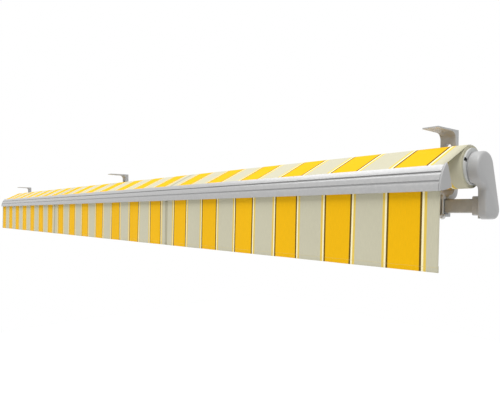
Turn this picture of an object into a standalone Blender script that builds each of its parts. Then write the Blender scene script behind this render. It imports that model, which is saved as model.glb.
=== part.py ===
"""Retractable folding-arm patio awning on three ceiling brackets, drawn in.

+X runs along the awning to the right as seen from the garden, +Y points to the wall and +Z up.
The origin is the middle of the middle bracket's ceiling face. All sizes are in metres.
"""
import math

import bpy
import bmesh
from mathutils import Matrix, Vector
from mathutils.geometry import convex_hull_2d

# Clearances
SEAT = 0.0003            # gap between pieces that touch
RUN = 0.0005             # gap beside a piece that turns
PIN_FIT = 0.0001         # radial play of a pin in its bore

# Overall layout
FABRIC_WIDTH = 3.38
CENTRE_X = 0.038         # middle of the awning, from the middle bracket
ROLLER_BELOW_CEILING = 0.0888
ROLLER_Y = -0.0245
BAR_BELOW_ROLLER = 0.0797
BAR_BEHIND_ROLLER = 0.0356

# Cloth and roller
ROLL_RADIUS = 0.0445
TUBE_RADIUS = 0.035
TUBE_WALL = 0.0015
TUBE_GROOVE_WIDTH = 0.008
TUBE_GROOVE_DEPTH = 0.006
CLOTH = 0.001
VALANCE_HEIGHT = 0.158
HEM_HEIGHT = 0.012
HEM = 0.0026
WELT_RADIUS = 0.0026
ROLL_END_TURNS = 2

# Torsion bar
BAR_SIZE = 0.030
BAR_WALL = 0.0025
BAR_CORNER = 0.003
BAR_END_SHORT = 0.001    # bar's end, inside the collar's outer face

# Ceiling brackets
BRACKET_WIDTH = 0.036
BRACKET_AHEAD = 0.0485   # flange's tip and the bracket's back, from the origin
BRACKET_BEHIND = 0.0405
FLANGE_TIP = 0.003
FLANGE_ROOT = 0.0045
PLATE = 0.0132
BRACKET_FILLET = 0.016
FOOT_LIP = 0.0085        # height of the foot's front edge
FOOT_SHORT = 0.005       # foot's front edge, behind the torsion bar's front
FOOT_EDGE = 0.003
FOOT_FILLET = 0.023
FOOT_CORNER = 0.020
FOOT_LUG_WALL = 0.0028   # round the bolts' threads
RIGHT_BRACKET_INSET = 0.079
LEFT_BRACKET_INSET = 0.027
ANCHOR_HOLE = 0.0055
ANCHOR_PITCH = 0.0225
ANCHOR_FROM_TIP = 0.0125
PLATE_HOLE = 0.0078
PLATE_HOLE_DROP = 0.0365

# Clamps under the torsion bar
CLAMP_PLATE = 0.008
CLAMP_CORNER = 0.003
CLAMP_AHEAD = 0.0115     # plate's front edge, in front of the torsion bar
CLAMP_UNDER_BAR = 0.013
CLAMP_SEAT = 0.0085      # raised strip at the plate's back, which bears on the bar
CLAMP_RELIEF = 0.0022
CLAMP_LEG = 0.005
CLAMP_LEG_WIDTH = 0.0105
CLAMP_BOLT_PITCH = 0.018
CLAMP_BOLT_THREAD = 0.010

# Round-headed bolts
BOLT_RADIUS = 0.003
BOLT_HEAD_RADIUS = 0.006
BOLT_HEAD = 0.0055

# End brackets and covers
COVER_START = 0.0055     # drum's open rim, out from the cloth's edge
COVER_DEPTH = 0.0235
COVER_WALL = 0.0025
COVER_EDGE = 0.006
COVER_INNER_EDGE = 0.0025
DRUM_RADIUS = 0.0345
DRUM_BACK = 0.004        # drum's centre, behind and below the roller's axis
DRUM_DROP = 0.004
LEG_START = 0.0095       # leg's open rim
LEG_AHEAD = 0.026
LEG_BEHIND = 0.033
LEG_BELOW_BAR = 0.0280
LEG_CORNER = 0.0195
LEG_FILLET = 0.012       # between the drum and the leg's front
END_PLATE_START = 0.010
END_PLATE = 0.006
COLLAR_SIZE = 0.040
COLLAR_START = -0.005
COLLAR_END = 0.0215
SCREW_RADIUS = 0.0022
SCREW_OUT = 0.0065
SCREW_AT = 0.0005
PLUG_FLANGE = 0.004
PLUG_RADIUS = 0.038
PLUG_DEPTH = 0.035
PLUG_NOTCH_WIDTH = 0.0075
PLUG_NOTCH_DEPTH = 0.009
PLUG_NOTCH_ANGLE = 159
IDLER_RADIUS = 0.008
IDLER_DEPTH = 0.030
IDLER_BOSS = 0.014
IDLER_BOSS_INNER = 0.003  # boss in front of and behind the bracket's plate
IDLER_BOSS_OUTER = 0.004

# Worm gear at the left end
WORM_TEETH = 13
GEAR_MODULE = 0.0017
WORM_RADIUS = 0.0042
TOOTH_ADDENDUM = 0.0014
TOOTH_CLEARANCE = 0.0003
TOOTH_SHARE = 0.42       # tooth thickness as a share of the pitch
FLANK_SLOPE = 20
WHEEL_WIDTH = 0.007
WORM_TURNS = 2.4
GEAR_START = 0.008
GEAR_AT = 0.0164
GEAR_CAVITY_RADIUS = 0.0228
GEAR_WALL = 0.0015
GEAR_LID = 0.0012
DRIVE_SQUARE = 0.012
DRIVE_SQUARE_EDGE = 0.001
DRIVE_JOURNAL = 0.0087
CRANK_SHAFT_RADIUS = 0.004
WORM_CORE = 0.0025
WORM_SUNK = 0.0005       # thread's root, inside the core
EYE_RADIUS = 0.011
EYE_WIRE = 0.003
EYE_DROP = 0.064
EYE_SOCKET_RADIUS = 0.0062
EYE_SOCKET = 0.016
EYE_FLOOR = 0.002

# Folding arms
PITCH = math.radians(12)
ARM_LENGTH = 1.25        # between the pivots of one arm half
FOLDED_REACH = 0.060     # shoulder pivot to hand pivot, drawn in
SHOULDER_INSET = 0.165
SHOULDER_AHEAD = 0.030   # pivot in front of the torsion bar
SHOULDER_ABOVE_BAR = 0.003
ARM_WIDTH = 0.028
ARM_HEIGHT = 0.042
ARM_WALL = 0.0022
ARM_CORNER = 0.005
ARM_GAP = 0.003
PIVOT_TO_TUBE = 0.055
NECK_INSET = 0.002
COLLAR_LENGTH = 0.008
INSERT_LENGTH = 0.030
PIN_RADIUS = 0.006
PIN_HEAD_RADIUS = 0.0085
PIN_HEAD = 0.003
PIN_CLIP_RADIUS = 0.0075
KNUCKLE_RADIUS = 0.015
KNUCKLE_HALF = 0.0155
HAND_RADIUS = 0.0125
HAND_HALF = 0.0125
SHOULDER_EAR = 0.007
SHOULDER_EAR_MARGIN = 0.001
ELBOW_EAR = 0.0055
HAND_EAR = 0.005
ELBOW_WEB = 0.019        # fork's web, from the elbow pivot
ELBOW_WEB_LEAN = 0.002
ELBOW_SLOT_SIDE = 0.0093
CABLE_GROOVE = 0.0022
CABLE_SUNK = 0.0002      # cable's outside, below the boss
CABLE_HALF = 0.004
CABLE_WRAP = (95, 250)   # of the right arm, in degrees
CABLE_END_PLAY = 3

# Shoulder brackets
SADDLE_WIDTH = 0.090
SADDLE_LIP = 0.0125
SADDLE_WALL = 0.010
SADDLE_CORNER = 0.004
SADDLE_EAR_HALF = 0.020
BACK_PLATE = 0.006
BACK_PLATE_CORNER = 0.005
SADDLE_BOLT_PITCH = 0.056
SADDLE_BOLT_THREAD = 0.014

# Front bar
FRONT_BAR_ABOVE_HAND = 0.039
HAND_REACH = 0.0181      # hand pivot behind the front bar's back edge
FRONT_HEIGHT = 0.0547
FRONT_NOSE = 0.0087      # foremost line, ahead of the valance
FRONT_NOSE_DROP = 0.0028
FRONT_BACK = 0.0348      # rearmost line, behind the valance
FRONT_BACK_RISE = 0.0078
FRONT_TOP_AHEAD = 0.0153
FRONT_TOP_BACK = 0.0190
FRONT_TOP_DROP = 0.0027
FRONT_LIP_DROP = 0.0034  # cloth channel's front lip, below the end caps' top
FRONT_FACE_RADIUS = 0.075
FRONT_HEEL = (0.0300, 0.0038)
FRONT_BELLY = (0.0132, 0.0002)
FRONT_TOE = (-0.0051, -0.0025)
FRONT_WALL = 0.0022
FACE_GROOVE = 0.0022
FACE_GROOVE_HEIGHT = 0.0045
FACE_GROOVES = (0.0160, 0.0335)
CHANNEL_RADIUS = 0.0031
CHANNEL_MOUTH = 0.0022
VALANCE_CHANNEL_RISE = 0.0062
COVER_CHANNEL_DEPTH = 0.0078
CAP = 0.0042
CAP_PEG = 0.018
HAND_PLATE = 0.008
HAND_PLATE_WIDTH = 0.056
HAND_PLATE_RISE = 0.034
HAND_PLATE_DROP = 0.016
HAND_BLOCK = 0.0155
HAND_FLOOR = 0.002       # block, below the lower ear
HAND_CORNER = 0.004
HAND_CLEAR = 0.002
HAND_EAR_HALF = 0.020
HAND_BOLT_PITCH = 0.040
HAND_BOLT_RISE = 0.021

ROUND = 16               # sides of bosses and knuckles
PIN_ROUND = 20           # sides of pins and of the bores that turn on them
WIDE_ROUND = 36          # sides of the roll and the roller
COVER_ROUND = 30         # sides of the end covers' curves
GEAR_ROUND = 24          # sides of the gear's housing
BOLT_ROUND = 10          # sides of bolts and their holes
ROUND_PROFILE = 0.5      # bevel profile of a quarter circle

# Places worked out from the sizes
ROLLER = Vector((CENTRE_X, ROLLER_Y, -ROLLER_BELOW_CEILING))
BAR = ROLLER + Vector((0, BAR_BEHIND_ROLLER, -BAR_BELOW_ROLLER))
BAR_TOP = BAR.z + BAR_SIZE / 2
BAR_FRONT = BAR.y - BAR_SIZE / 2
HALF_WIDTH = FABRIC_WIDTH / 2
FORWARD = Vector((0, -math.cos(PITCH), -math.sin(PITCH)))
SHOULDER_X = HALF_WIDTH - SHOULDER_INSET
SHOULDER = Vector((CENTRE_X, BAR_FRONT - SHOULDER_AHEAD, BAR.z + SHOULDER_ABOVE_BAR))
HAND = SHOULDER + FOLDED_REACH * FORWARD
FRONT = Vector((CENTRE_X, HAND.y - HAND_REACH - FRONT_BACK, HAND.z + FRONT_BAR_ABOVE_HAND))
FRONT_TOP = Vector((FRONT_TOP_AHEAD, FRONT_HEIGHT - FRONT_NOSE_DROP))
FRONT_TOP_REAR = Vector((FRONT_TOP_BACK, FRONT_TOP.y - FRONT_TOP_DROP))
REST_ANGLE = math.asin(FOLDED_REACH / (2 * ARM_LENGTH))
ELBOW_REACH = ARM_LENGTH * math.cos(REST_ANGLE)
TUBE_OFFSET = (ARM_WIDTH + ARM_GAP) / 2
WHEEL_RADIUS = WORM_TEETH * GEAR_MODULE / 2
WORM_LEAD = math.pi * GEAR_MODULE
WORM_AHEAD = WHEEL_RADIUS + WORM_RADIUS


def clear_scene():
    for thing in list(bpy.data.objects):
        bpy.data.objects.remove(thing, do_unlink=True)


def material(name, colour, roughness, metallic=0.0):
    """A named Principled material, made once."""
    made = bpy.data.materials.get(name)
    if made is None:
        made = bpy.data.materials.new(name)
        made.use_nodes = True
        shader = made.node_tree.nodes["Principled BSDF"]
        shader.inputs["Base Color"].default_value = (*colour, 1)
        shader.inputs["Roughness"].default_value = roughness
        shader.inputs["Metallic"].default_value = metallic
    return made


def cast_aluminium():
    return material("cast_aluminium", (0.42, 0.42, 0.43), 0.5, 0.3)


def extruded_aluminium():
    return material("extruded_aluminium", (0.55, 0.55, 0.56), 0.38, 0.4)


def bracket_paint():
    return material("bracket_paint", (0.38, 0.37, 0.35), 0.5)


def bar_paint():
    return material("bar_paint", (0.24, 0.22, 0.20), 0.5)


def cover_plastic():
    return material("cover_plastic", (0.40, 0.40, 0.42), 0.45)


def plug_plastic():
    return material("plug_plastic", (0.55, 0.56, 0.56), 0.5)


def steel():
    return material("steel", (0.50, 0.50, 0.50), 0.35, 0.9)


def brass():
    return material("brass", (0.60, 0.45, 0.20), 0.4, 0.9)


def awning_cloth():
    return material("awning_cloth", (0.86, 0.52, 0.03), 0.9)


def anchor(name, place, parent=None, turn=0.0):
    """An empty that carries pieces, turned about X."""
    empty = bpy.data.objects.new(name, None)
    bpy.context.collection.objects.link(empty)
    empty.parent = parent
    empty.location = place
    empty.rotation_euler.x = turn
    return empty


def add_piece(name, mesh, look, place=(0, 0, 0), parent=None, flip=False):
    """An object from a bmesh. flip mirrors it in X, for pieces of the left end."""
    if flip:
        bmesh.ops.scale(mesh, vec=(-1, 1, 1), verts=mesh.verts)
    bmesh.ops.recalc_face_normals(mesh, faces=mesh.faces)
    data = bpy.data.meshes.new(name)
    mesh.to_mesh(data)
    mesh.free()
    piece = bpy.data.objects.new(name, data)
    bpy.context.collection.objects.link(piece)
    if look is not None:
        data.materials.append(look)
    data.shade_smooth()
    data.set_sharp_from_angle(angle=math.radians(35))
    piece.parent = parent
    piece.location = place
    return piece


def boolean(piece, tool, operation="DIFFERENCE"):
    """Cuts the tool from the piece, or joins it on."""
    tool.hide_render = True
    tool.display_type = "WIRE"
    step = piece.modifiers.new(tool.name, "BOOLEAN")
    step.object = tool
    step.operation = operation
    step.solver = "EXACT"


def tool_for(piece, name, mesh, flip=False):
    """A cutter or join piece that shares the piece's place and parent."""
    return add_piece(piece.name + name, mesh, None, piece.location, piece.parent, flip)


def circle(radius, count=ROUND, centre=(0, 0), start=0.0, end=360.0):
    """Points on a circle or, between two angles in degrees, on an arc with both ends."""
    full = end - start >= 360
    steps = count if full else max(2, math.ceil(count * abs(end - start) / 360))
    angles = [math.radians(start + (end - start) * i / steps) for i in range(steps + (not full))]
    return [(centre[0] + radius * math.cos(a), centre[1] + radius * math.sin(a)) for a in angles]


def rounded_box(width, height, radius, centre=(0, 0), corner=2):
    """A rectangle with round corners of so many steps each."""
    points = []
    for sign_u, sign_v, start in ((1, 1, 0), (-1, 1, 90), (-1, -1, 180), (1, -1, 270)):
        middle = (centre[0] + sign_u * (width / 2 - radius), centre[1] + sign_v * (height / 2 - radius))
        points += circle(radius, 4 * corner, middle, start, start + 90)
    return points


def hull(points):
    return [points[i] for i in convex_hull_2d([Vector(p) for p in points])]


AXES = {
    "x": Matrix(((0, 0, 1), (1, 0, 0), (0, 1, 0))),
    "y": Matrix(((1, 0, 0), (0, 0, 1), (0, 1, 0))),
    "z": Matrix.Identity(3),
}


def prism(mesh, outline, start, end, axis="x", holes=(), twist=0.0):
    """Extrudes an outline along an axis. Its points are (y, z), (x, z) or (x, y) for axis x, y or z."""
    turn = AXES[axis]
    edges = []
    for loop in (outline, *holes):
        corners = [mesh.verts.new(turn @ Vector((u, v, start))) for u, v in loop]
        if not holes:
            base = [mesh.faces.new(corners)]
        else:
            edges += [mesh.edges.new((a, b)) for a, b in zip(corners, corners[1:] + corners[:1])]
    if holes:
        filled = bmesh.ops.triangle_fill(mesh, use_beauty=True, edges=edges)
        base = [g for g in filled["geom"] if isinstance(g, bmesh.types.BMFace)]
    raised = bmesh.ops.extrude_face_region(mesh, geom=base, use_keep_orig=True)
    moved = [g for g in raised["geom"] if isinstance(g, bmesh.types.BMVert)]
    along = turn @ Vector((0, 0, 1))
    bmesh.ops.translate(mesh, vec=along * (end - start), verts=moved)
    if twist:
        spin = Matrix.Rotation(twist, 3, along)
        bmesh.ops.rotate(mesh, cent=(0, 0, 0), matrix=spin, verts=moved)
    return mesh


def turned(mesh, profile, axis="x", sides=ROUND, centre=(0, 0, 0)):
    """Spins a closed profile of (along, radius) points about an axis through the centre."""
    turn = AXES[axis]
    along = turn @ Vector((0, 0, 1))
    corners = [mesh.verts.new(turn @ Vector((radius, 0, place)) + Vector(centre)) for place, radius in profile]
    loop = list(zip(corners, (radius for _, radius in profile)))
    pairs = zip(loop, loop[1:] + loop[:1])
    edges = [mesh.edges.new((a, b)) for (a, near), (b, far) in pairs if max(near, far) > 1e-6]
    bmesh.ops.spin(mesh, geom=corners + edges, cent=centre, axis=along, angle=math.tau,
                   steps=sides, use_duplicate=False)
    bmesh.ops.remove_doubles(mesh, verts=mesh.verts, dist=1e-6)
    bmesh.ops.dissolve_degenerate(mesh, dist=1e-7, edges=mesh.edges)
    return mesh


def rod(radius, start, end, axis="x", centre=(0, 0, 0), sides=ROUND):
    """A plain cylinder in a bmesh of its own."""
    mesh = bmesh.new()
    u, v = {"x": (1, 2), "y": (0, 2), "z": (0, 1)}[axis]
    return prism(mesh, circle(radius, sides, (centre[u], centre[v])), start, end, axis)


def block(low, high):
    """A box between two corners in a bmesh of its own."""
    mesh = bmesh.new()
    bmesh.ops.create_cube(mesh, size=1)
    size = Vector(high) - Vector(low)
    bmesh.ops.scale(mesh, vec=size, verts=mesh.verts)
    bmesh.ops.translate(mesh, vec=(Vector(low) + Vector(high)) / 2, verts=mesh.verts)
    return mesh


def bolt_mesh(length, axis, sign):
    """A round-headed bolt with its seat at the origin. The shank runs sign-ward along the axis."""
    mesh = bmesh.new()
    dome = [(-BOLT_HEAD * v, BOLT_HEAD_RADIUS * u) for u, v in circle(1, 12, (0, 0), 0, 90)]
    profile = [*dome, (length, 0), (length, BOLT_RADIUS), (0, BOLT_RADIUS)]
    return turned(mesh, [(sign * along, radius) for along, radius in profile], axis, BOLT_ROUND)


def merge(target, source, offset=(0, 0, 0)):
    """Copies one bmesh into another, moved by an offset, and frees it."""
    copies = {v: target.verts.new(v.co + Vector(offset)) for v in source.verts}
    for face in source.faces:
        target.faces.new([copies[v] for v in face.verts])
    source.free()
    return target


def ends():
    """The two ends: name, sign of X and whether the piece is mirrored."""
    return (("right", 1, False), ("left", -1, True))


# Torsion bar and its brackets

def make_torsion_bar():
    half = HALF_WIDTH + COLLAR_END - BAR_END_SHORT
    outer = rounded_box(BAR_SIZE, BAR_SIZE, BAR_CORNER, corner=3)
    inside = BAR_SIZE - 2 * BAR_WALL
    bore = rounded_box(inside, inside, BAR_CORNER / 2)
    mesh = prism(bmesh.new(), outer, -half, half, "x", [bore])
    add_piece("torsion_bar", mesh, bar_paint(), BAR)


def clamp_bolt_y():
    return BAR_FRONT - BOLT_RADIUS - 2 * RUN


def bracket_outline():
    """Section of the ceiling bracket: flange, plate and the curved foot that sits on the torsion bar."""
    front, back = -BRACKET_AHEAD, BRACKET_BEHIND
    plate = back - PLATE
    foot_low = BAR_TOP + SEAT
    foot_top = foot_low + FOOT_LIP
    lip = BAR_FRONT + FOOT_SHORT
    points = [(back, 0), (front, 0), (front, -FLANGE_TIP)]
    fillet = (plate - BRACKET_FILLET, -FLANGE_ROOT - BRACKET_FILLET)
    points += reversed(circle(BRACKET_FILLET, 24, fillet, 0, 90))
    points += reversed(circle(FOOT_FILLET, 24, (plate - FOOT_FILLET, foot_top + FOOT_FILLET), -90, 0))
    points += circle(FOOT_EDGE, 12, (lip + FOOT_EDGE, foot_top - FOOT_EDGE), 90, 180)
    points += [(lip, foot_low)]
    points += circle(FOOT_CORNER, 24, (back - FOOT_CORNER, foot_low + FOOT_CORNER), -90, 0)
    return points


def make_ceiling_bracket(name, x):
    mesh = prism(bmesh.new(), bracket_outline(), -BRACKET_WIDTH / 2, BRACKET_WIDTH / 2)
    bracket = add_piece("ceiling_bracket_" + name, mesh, bracket_paint(), (x, 0, 0))
    foot_low = BAR_TOP + SEAT
    bolts = [(side * CLAMP_BOLT_PITCH / 2, clamp_bolt_y()) for side in (-1, 1)]
    lug_wall = BOLT_RADIUS + SEAT + FOOT_LUG_WALL
    root = BAR_FRONT + FOOT_SHORT + FOOT_EDGE
    shape = [(x_bolt, root) for x_bolt, _ in bolts]
    for bolt in bolts:
        shape += circle(lug_wall, ROUND, bolt)
    lug = prism(bmesh.new(), hull(shape), foot_low, foot_low + FOOT_LIP - FOOT_EDGE / 2, "z")
    boolean(bracket, tool_for(bracket, "_lug", lug), "UNION")
    holes = bmesh.new()
    for row in range(2):
        y = -BRACKET_AHEAD + ANCHOR_FROM_TIP + row * ANCHOR_PITCH
        merge(holes, rod(ANCHOR_HOLE, -2 * FLANGE_ROOT, FLANGE_ROOT, "z", (0, y, 0)))
    merge(holes, rod(PLATE_HOLE, BRACKET_BEHIND - 2 * PLATE, BRACKET_BEHIND + PLATE, "y", (0, 0, -PLATE_HOLE_DROP)))
    for x_bolt, y_bolt in bolts:
        merge(holes, rod(BOLT_RADIUS + SEAT, foot_low - FOOT_LIP, foot_low + 2 * FOOT_LIP, "z",
                         (x_bolt, y_bolt, 0), BOLT_ROUND))
    boolean(bracket, tool_for(bracket, "_holes", holes))


def make_clamp(name, x):
    """The plate that holds the torsion bar up against the bracket's foot, and its two bolts.

    Its back bears on the bar, and a leg between the bolts bears on the bracket's lug.
    """
    top = BAR.z - BAR_SIZE / 2 - SEAT
    low = top - CLAMP_PLATE
    front = BAR_FRONT - CLAMP_AHEAD
    back = BAR_FRONT + CLAMP_UNDER_BAR
    seat = back - CLAMP_SEAT
    outline = [(back, low), (back, top), (seat, top), (seat, top - CLAMP_RELIEF), (front, top - CLAMP_RELIEF),
               *circle(CLAMP_CORNER, 12, (front + CLAMP_CORNER, low + CLAMP_CORNER), 180, 270)]
    mesh = prism(bmesh.new(), outline, -BRACKET_WIDTH / 2, BRACKET_WIDTH / 2)
    clamp = add_piece("bar_clamp_" + name, mesh, bracket_paint(), (x, 0, 0))
    leg_back = BAR_FRONT - 2 * RUN
    leg = block((-CLAMP_LEG_WIDTH / 2, leg_back - CLAMP_LEG, low + CLAMP_PLATE / 2),
                (CLAMP_LEG_WIDTH / 2, leg_back, BAR_TOP))
    boolean(clamp, tool_for(clamp, "_leg", leg), "UNION")
    holes = bmesh.new()
    length = BAR_TOP + SEAT + CLAMP_BOLT_THREAD - low + SEAT
    for number, side in ((1, -1), (2, 1)):
        spot = (side * CLAMP_BOLT_PITCH / 2, clamp_bolt_y(), 0)
        merge(holes, rod(BOLT_RADIUS + SEAT, low - CLAMP_PLATE, top + CLAMP_PLATE, "z", spot, BOLT_ROUND))
        add_piece(f"clamp_bolt_{name}_{number}", bolt_mesh(length, "z", 1), steel(), (x + spot[0], spot[1], low - SEAT))
    boolean(clamp, tool_for(clamp, "_holes", holes))


# End brackets and covers

def end_outline(inset=0.0, count=COVER_ROUND):
    """Outline of the end cover in (y, z) from the roller's axis: a drum, and a leg over the bar's end.

    The drum's rear tangent runs into the leg's rear corner, and a small fillet joins the drum to the
    leg's front edge. inset draws the same outline smaller all round.
    """
    drum = DRUM_RADIUS - inset
    corner = LEG_CORNER - inset
    low = DRUM_DROP - BAR_BELOW_ROLLER - LEG_BELOW_BAR + inset
    front = BAR_BEHIND_ROLLER - DRUM_BACK - LEG_AHEAD + inset
    back = BAR_BEHIND_ROLLER - DRUM_BACK + LEG_BEHIND - inset
    rear = Vector((back - corner, low + corner))
    fore = Vector((front + corner, low + corner))
    shift = math.degrees(math.acos((drum - corner) / rear.length))
    slope = math.degrees(math.atan2(rear.y, rear.x)) + shift
    fillet = LEG_FILLET + inset
    drop = -math.sqrt((drum + fillet) ** 2 - (front - fillet) ** 2)
    meet = math.degrees(math.atan2(drop, front - fillet))
    points = circle(corner, count, rear, -90, slope)
    points += circle(drum, count, (0, 0), slope, 360 + meet)
    points += list(reversed(circle(fillet, count, (front - fillet, drop), 0, 180 + meet)))[1:]
    points += circle(corner, count, fore, 180, 270)
    return [(y + DRUM_BACK, z - DRUM_DROP) for y, z in points]


def bevel_end(mesh, width, segments):
    """Rounds the edges of a prism's outer end."""
    mesh.normal_update()
    outer_face = max(mesh.faces, key=lambda face: face.calc_center_median().x)
    bmesh.ops.bevel(mesh, geom=list(outer_face.edges), offset=width, segments=segments,
                    profile=ROUND_PROFILE, affect="EDGES")


def make_end_cover(name, sign, flip):
    """Moulded cover: a shell that is open towards the roll, with the drum's rim nearer to it than the leg's."""
    outer_end = COVER_START + COVER_DEPTH
    mesh = prism(bmesh.new(), end_outline(), COVER_START, outer_end)
    bevel_end(mesh, COVER_EDGE, 3)
    place = ROLLER + Vector((sign * HALF_WIDTH, 0, 0))
    cover = add_piece("end_cover_" + name, mesh, cover_plastic(), place, None, flip)
    cavity = prism(bmesh.new(), end_outline(COVER_WALL), -COVER_START, outer_end - COVER_WALL)
    bevel_end(cavity, COVER_INNER_EDGE, 2)
    boolean(cover, tool_for(cover, "_cavity", cavity, flip))
    below = -BAR_BELOW_ROLLER - 2 * LEG_BELOW_BAR
    step = block((-COVER_START, -2 * DRUM_RADIUS, below), (LEG_START, BAR_BEHIND_ROLLER + 2 * LEG_BEHIND, -DRUM_RADIUS))
    boolean(cover, tool_for(cover, "_leg_rim", step, flip))
    if flip:
        slot = rod(CRANK_SHAFT_RADIUS + 3 * RUN, -2 * DRUM_RADIUS, -DRUM_RADIUS / 2, "z", (GEAR_AT, -WORM_AHEAD, 0))
        boolean(cover, tool_for(cover, "_shaft_hole", slot, flip))


def make_end_bracket(name, sign, flip):
    """Cast bracket in the cover: a plate, the square collar on the torsion bar and the roller's seat."""
    place = ROLLER + Vector((sign * HALF_WIDTH, 0, 0))
    plate_end = END_PLATE_START + END_PLATE
    mesh = prism(bmesh.new(), end_outline(COVER_WALL + SEAT), END_PLATE_START, plate_end)
    bracket = add_piece("end_bracket_" + name, mesh, cast_aluminium(), place, None, flip)
    at_bar = (BAR_BEHIND_ROLLER, -BAR_BELOW_ROLLER)
    collar = prism(bmesh.new(), rounded_box(COLLAR_SIZE, COLLAR_SIZE, BAR_CORNER, at_bar),
                   COLLAR_START, COLLAR_END)
    boolean(bracket, tool_for(bracket, "_collar", collar, flip), "UNION")
    hole = BAR_SIZE + 2 * SEAT
    square = prism(bmesh.new(), rounded_box(hole, hole, BAR_CORNER, at_bar),
                   COLLAR_START - END_PLATE, COLLAR_END + END_PLATE)
    boolean(bracket, tool_for(bracket, "_bar_hole", square, flip))
    screw_low = -BAR_BELOW_ROLLER - COLLAR_SIZE
    screw_hole = rod(SCREW_RADIUS + SEAT, screw_low, -BAR_BELOW_ROLLER, "z",
                     (SCREW_AT, BAR_BEHIND_ROLLER, 0), BOLT_ROUND)
    boolean(bracket, tool_for(bracket, "_screw_hole", screw_hole, flip))
    if flip:
        ring = rod(GEAR_CAVITY_RADIUS + GEAR_WALL + SEAT, 0, 2 * plate_end, "x", sides=GEAR_ROUND)
        boolean(bracket, tool_for(bracket, "_gear_seat", ring, flip))
        slot = rod(CRANK_SHAFT_RADIUS + 2 * RUN, -2 * DRUM_RADIUS, 0, "z", (GEAR_AT, -WORM_AHEAD, 0))
        boolean(bracket, tool_for(bracket, "_shaft_slot", slot, flip))
    else:
        boss = rod(IDLER_BOSS, END_PLATE_START - IDLER_BOSS_INNER, plate_end + IDLER_BOSS_OUTER)
        boolean(bracket, tool_for(bracket, "_boss", boss, flip), "UNION")
        pin = rod(IDLER_RADIUS, -IDLER_DEPTH, plate_end, sides=PIN_ROUND)
        boolean(bracket, tool_for(bracket, "_idler_pin", pin, flip), "UNION")
    bar_low = -BAR_SIZE / 2
    screw = rod(SCREW_RADIUS, bar_low - SEAT, -COLLAR_SIZE / 2 - SCREW_OUT, "z", sides=BOLT_ROUND)
    add_piece("collar_screw_" + name, screw, steel(), place + Vector(
        (sign * SCREW_AT, BAR_BEHIND_ROLLER, -BAR_BELOW_ROLLER)))


# Roller and cloth

def tube_groove(radius, widen=0.0):
    """A circle with the tube's U-shaped groove pressed in at the bottom."""
    half = TUBE_GROOVE_WIDTH / 2 + widen
    gap = math.degrees(math.asin(half / radius))
    points = circle(radius, WIDE_ROUND, (0, 0), -90 + gap, 270 - gap)
    floor = -TUBE_RADIUS + TUBE_GROOVE_DEPTH + widen
    return points + [(-half, floor), (half, floor)]


def make_roller(axis):
    tube = prism(bmesh.new(), tube_groove(TUBE_RADIUS), -HALF_WIDTH, HALF_WIDTH, "x",
                 [tube_groove(TUBE_RADIUS - TUBE_WALL, TUBE_WALL)])
    add_piece("roller_tube", tube, steel(), parent=axis)

    end = HALF_WIDTH
    inner = TUBE_RADIUS + SEAT
    step = (ROLL_RADIUS - inner) / ROLL_END_TURNS
    ridge = step / 3
    side = [(end - ridge * (i % 2), inner + step * i / 2) for i in range(2 * ROLL_END_TURNS + 1)]
    profile = side + [(-along, radius) for along, radius in reversed(side)]
    roll = turned(bmesh.new(), profile, "x", WIDE_ROUND)
    add_piece("fabric_roll", roll, awning_cloth(), parent=axis)

    for name, sign, flip in ends():
        make_roller_plug(name, sign, flip, axis)


def make_roller_plug(name, sign, flip, axis):
    """Plug in the tube's end, with the flange that closes the roll. The cover's side is at +X."""
    insert = tube_groove(TUBE_RADIUS - TUBE_WALL - SEAT, TUBE_WALL + SEAT)
    mesh = prism(bmesh.new(), insert, -PLUG_DEPTH, SEAT + PLUG_FLANGE / 2)
    plug = add_piece("roller_plug_" + name, mesh, plug_plastic(), (sign * HALF_WIDTH, 0, 0), axis, flip)
    flange = rod(PLUG_RADIUS, SEAT, SEAT + PLUG_FLANGE, sides=WIDE_ROUND)
    boolean(plug, tool_for(plug, "_flange", flange, flip), "UNION")
    if flip:
        hole = DRIVE_SQUARE + 2 * SEAT
        bore = prism(bmesh.new(), rounded_box(hole, hole, DRIVE_SQUARE_EDGE), -2 * PLUG_DEPTH, 2 * PLUG_FLANGE)
    else:
        bore = rod(IDLER_RADIUS + PIN_FIT, -2 * PLUG_DEPTH, 2 * PLUG_FLANGE, sides=PIN_ROUND)
    boolean(plug, tool_for(plug, "_bore", bore, flip))
    notch = block((SEAT + PLUG_FLANGE / 3, PLUG_RADIUS - PLUG_NOTCH_DEPTH, -PLUG_NOTCH_WIDTH / 2),
                  (2 * PLUG_FLANGE, 2 * PLUG_RADIUS, PLUG_NOTCH_WIDTH / 2))
    spin = Matrix.Rotation(math.radians(PLUG_NOTCH_ANGLE), 3, "X")
    bmesh.ops.rotate(notch, cent=(0, 0, 0), matrix=spin, verts=notch.verts)
    boolean(plug, tool_for(plug, "_notch", notch, flip))


def front_lips():
    """Front and rear lip of the front bar's cloth channel, from the front bar's place."""
    high = FRONT_TOP.y - FRONT_LIP_DROP
    low = high - FRONT_TOP_DROP
    return Vector((front_face(high), high)), Vector((front_back_line(low), low))


def front_channel():
    """Centre of the front bar's cloth channel and the way out of its mouth, from the front bar's place."""
    front, rear = front_lips()
    facet = (rear - front).normalized()
    out = Vector((-facet.y, facet.x))
    return (front + rear) / 2 - COVER_CHANNEL_DEPTH * out, out


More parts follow.
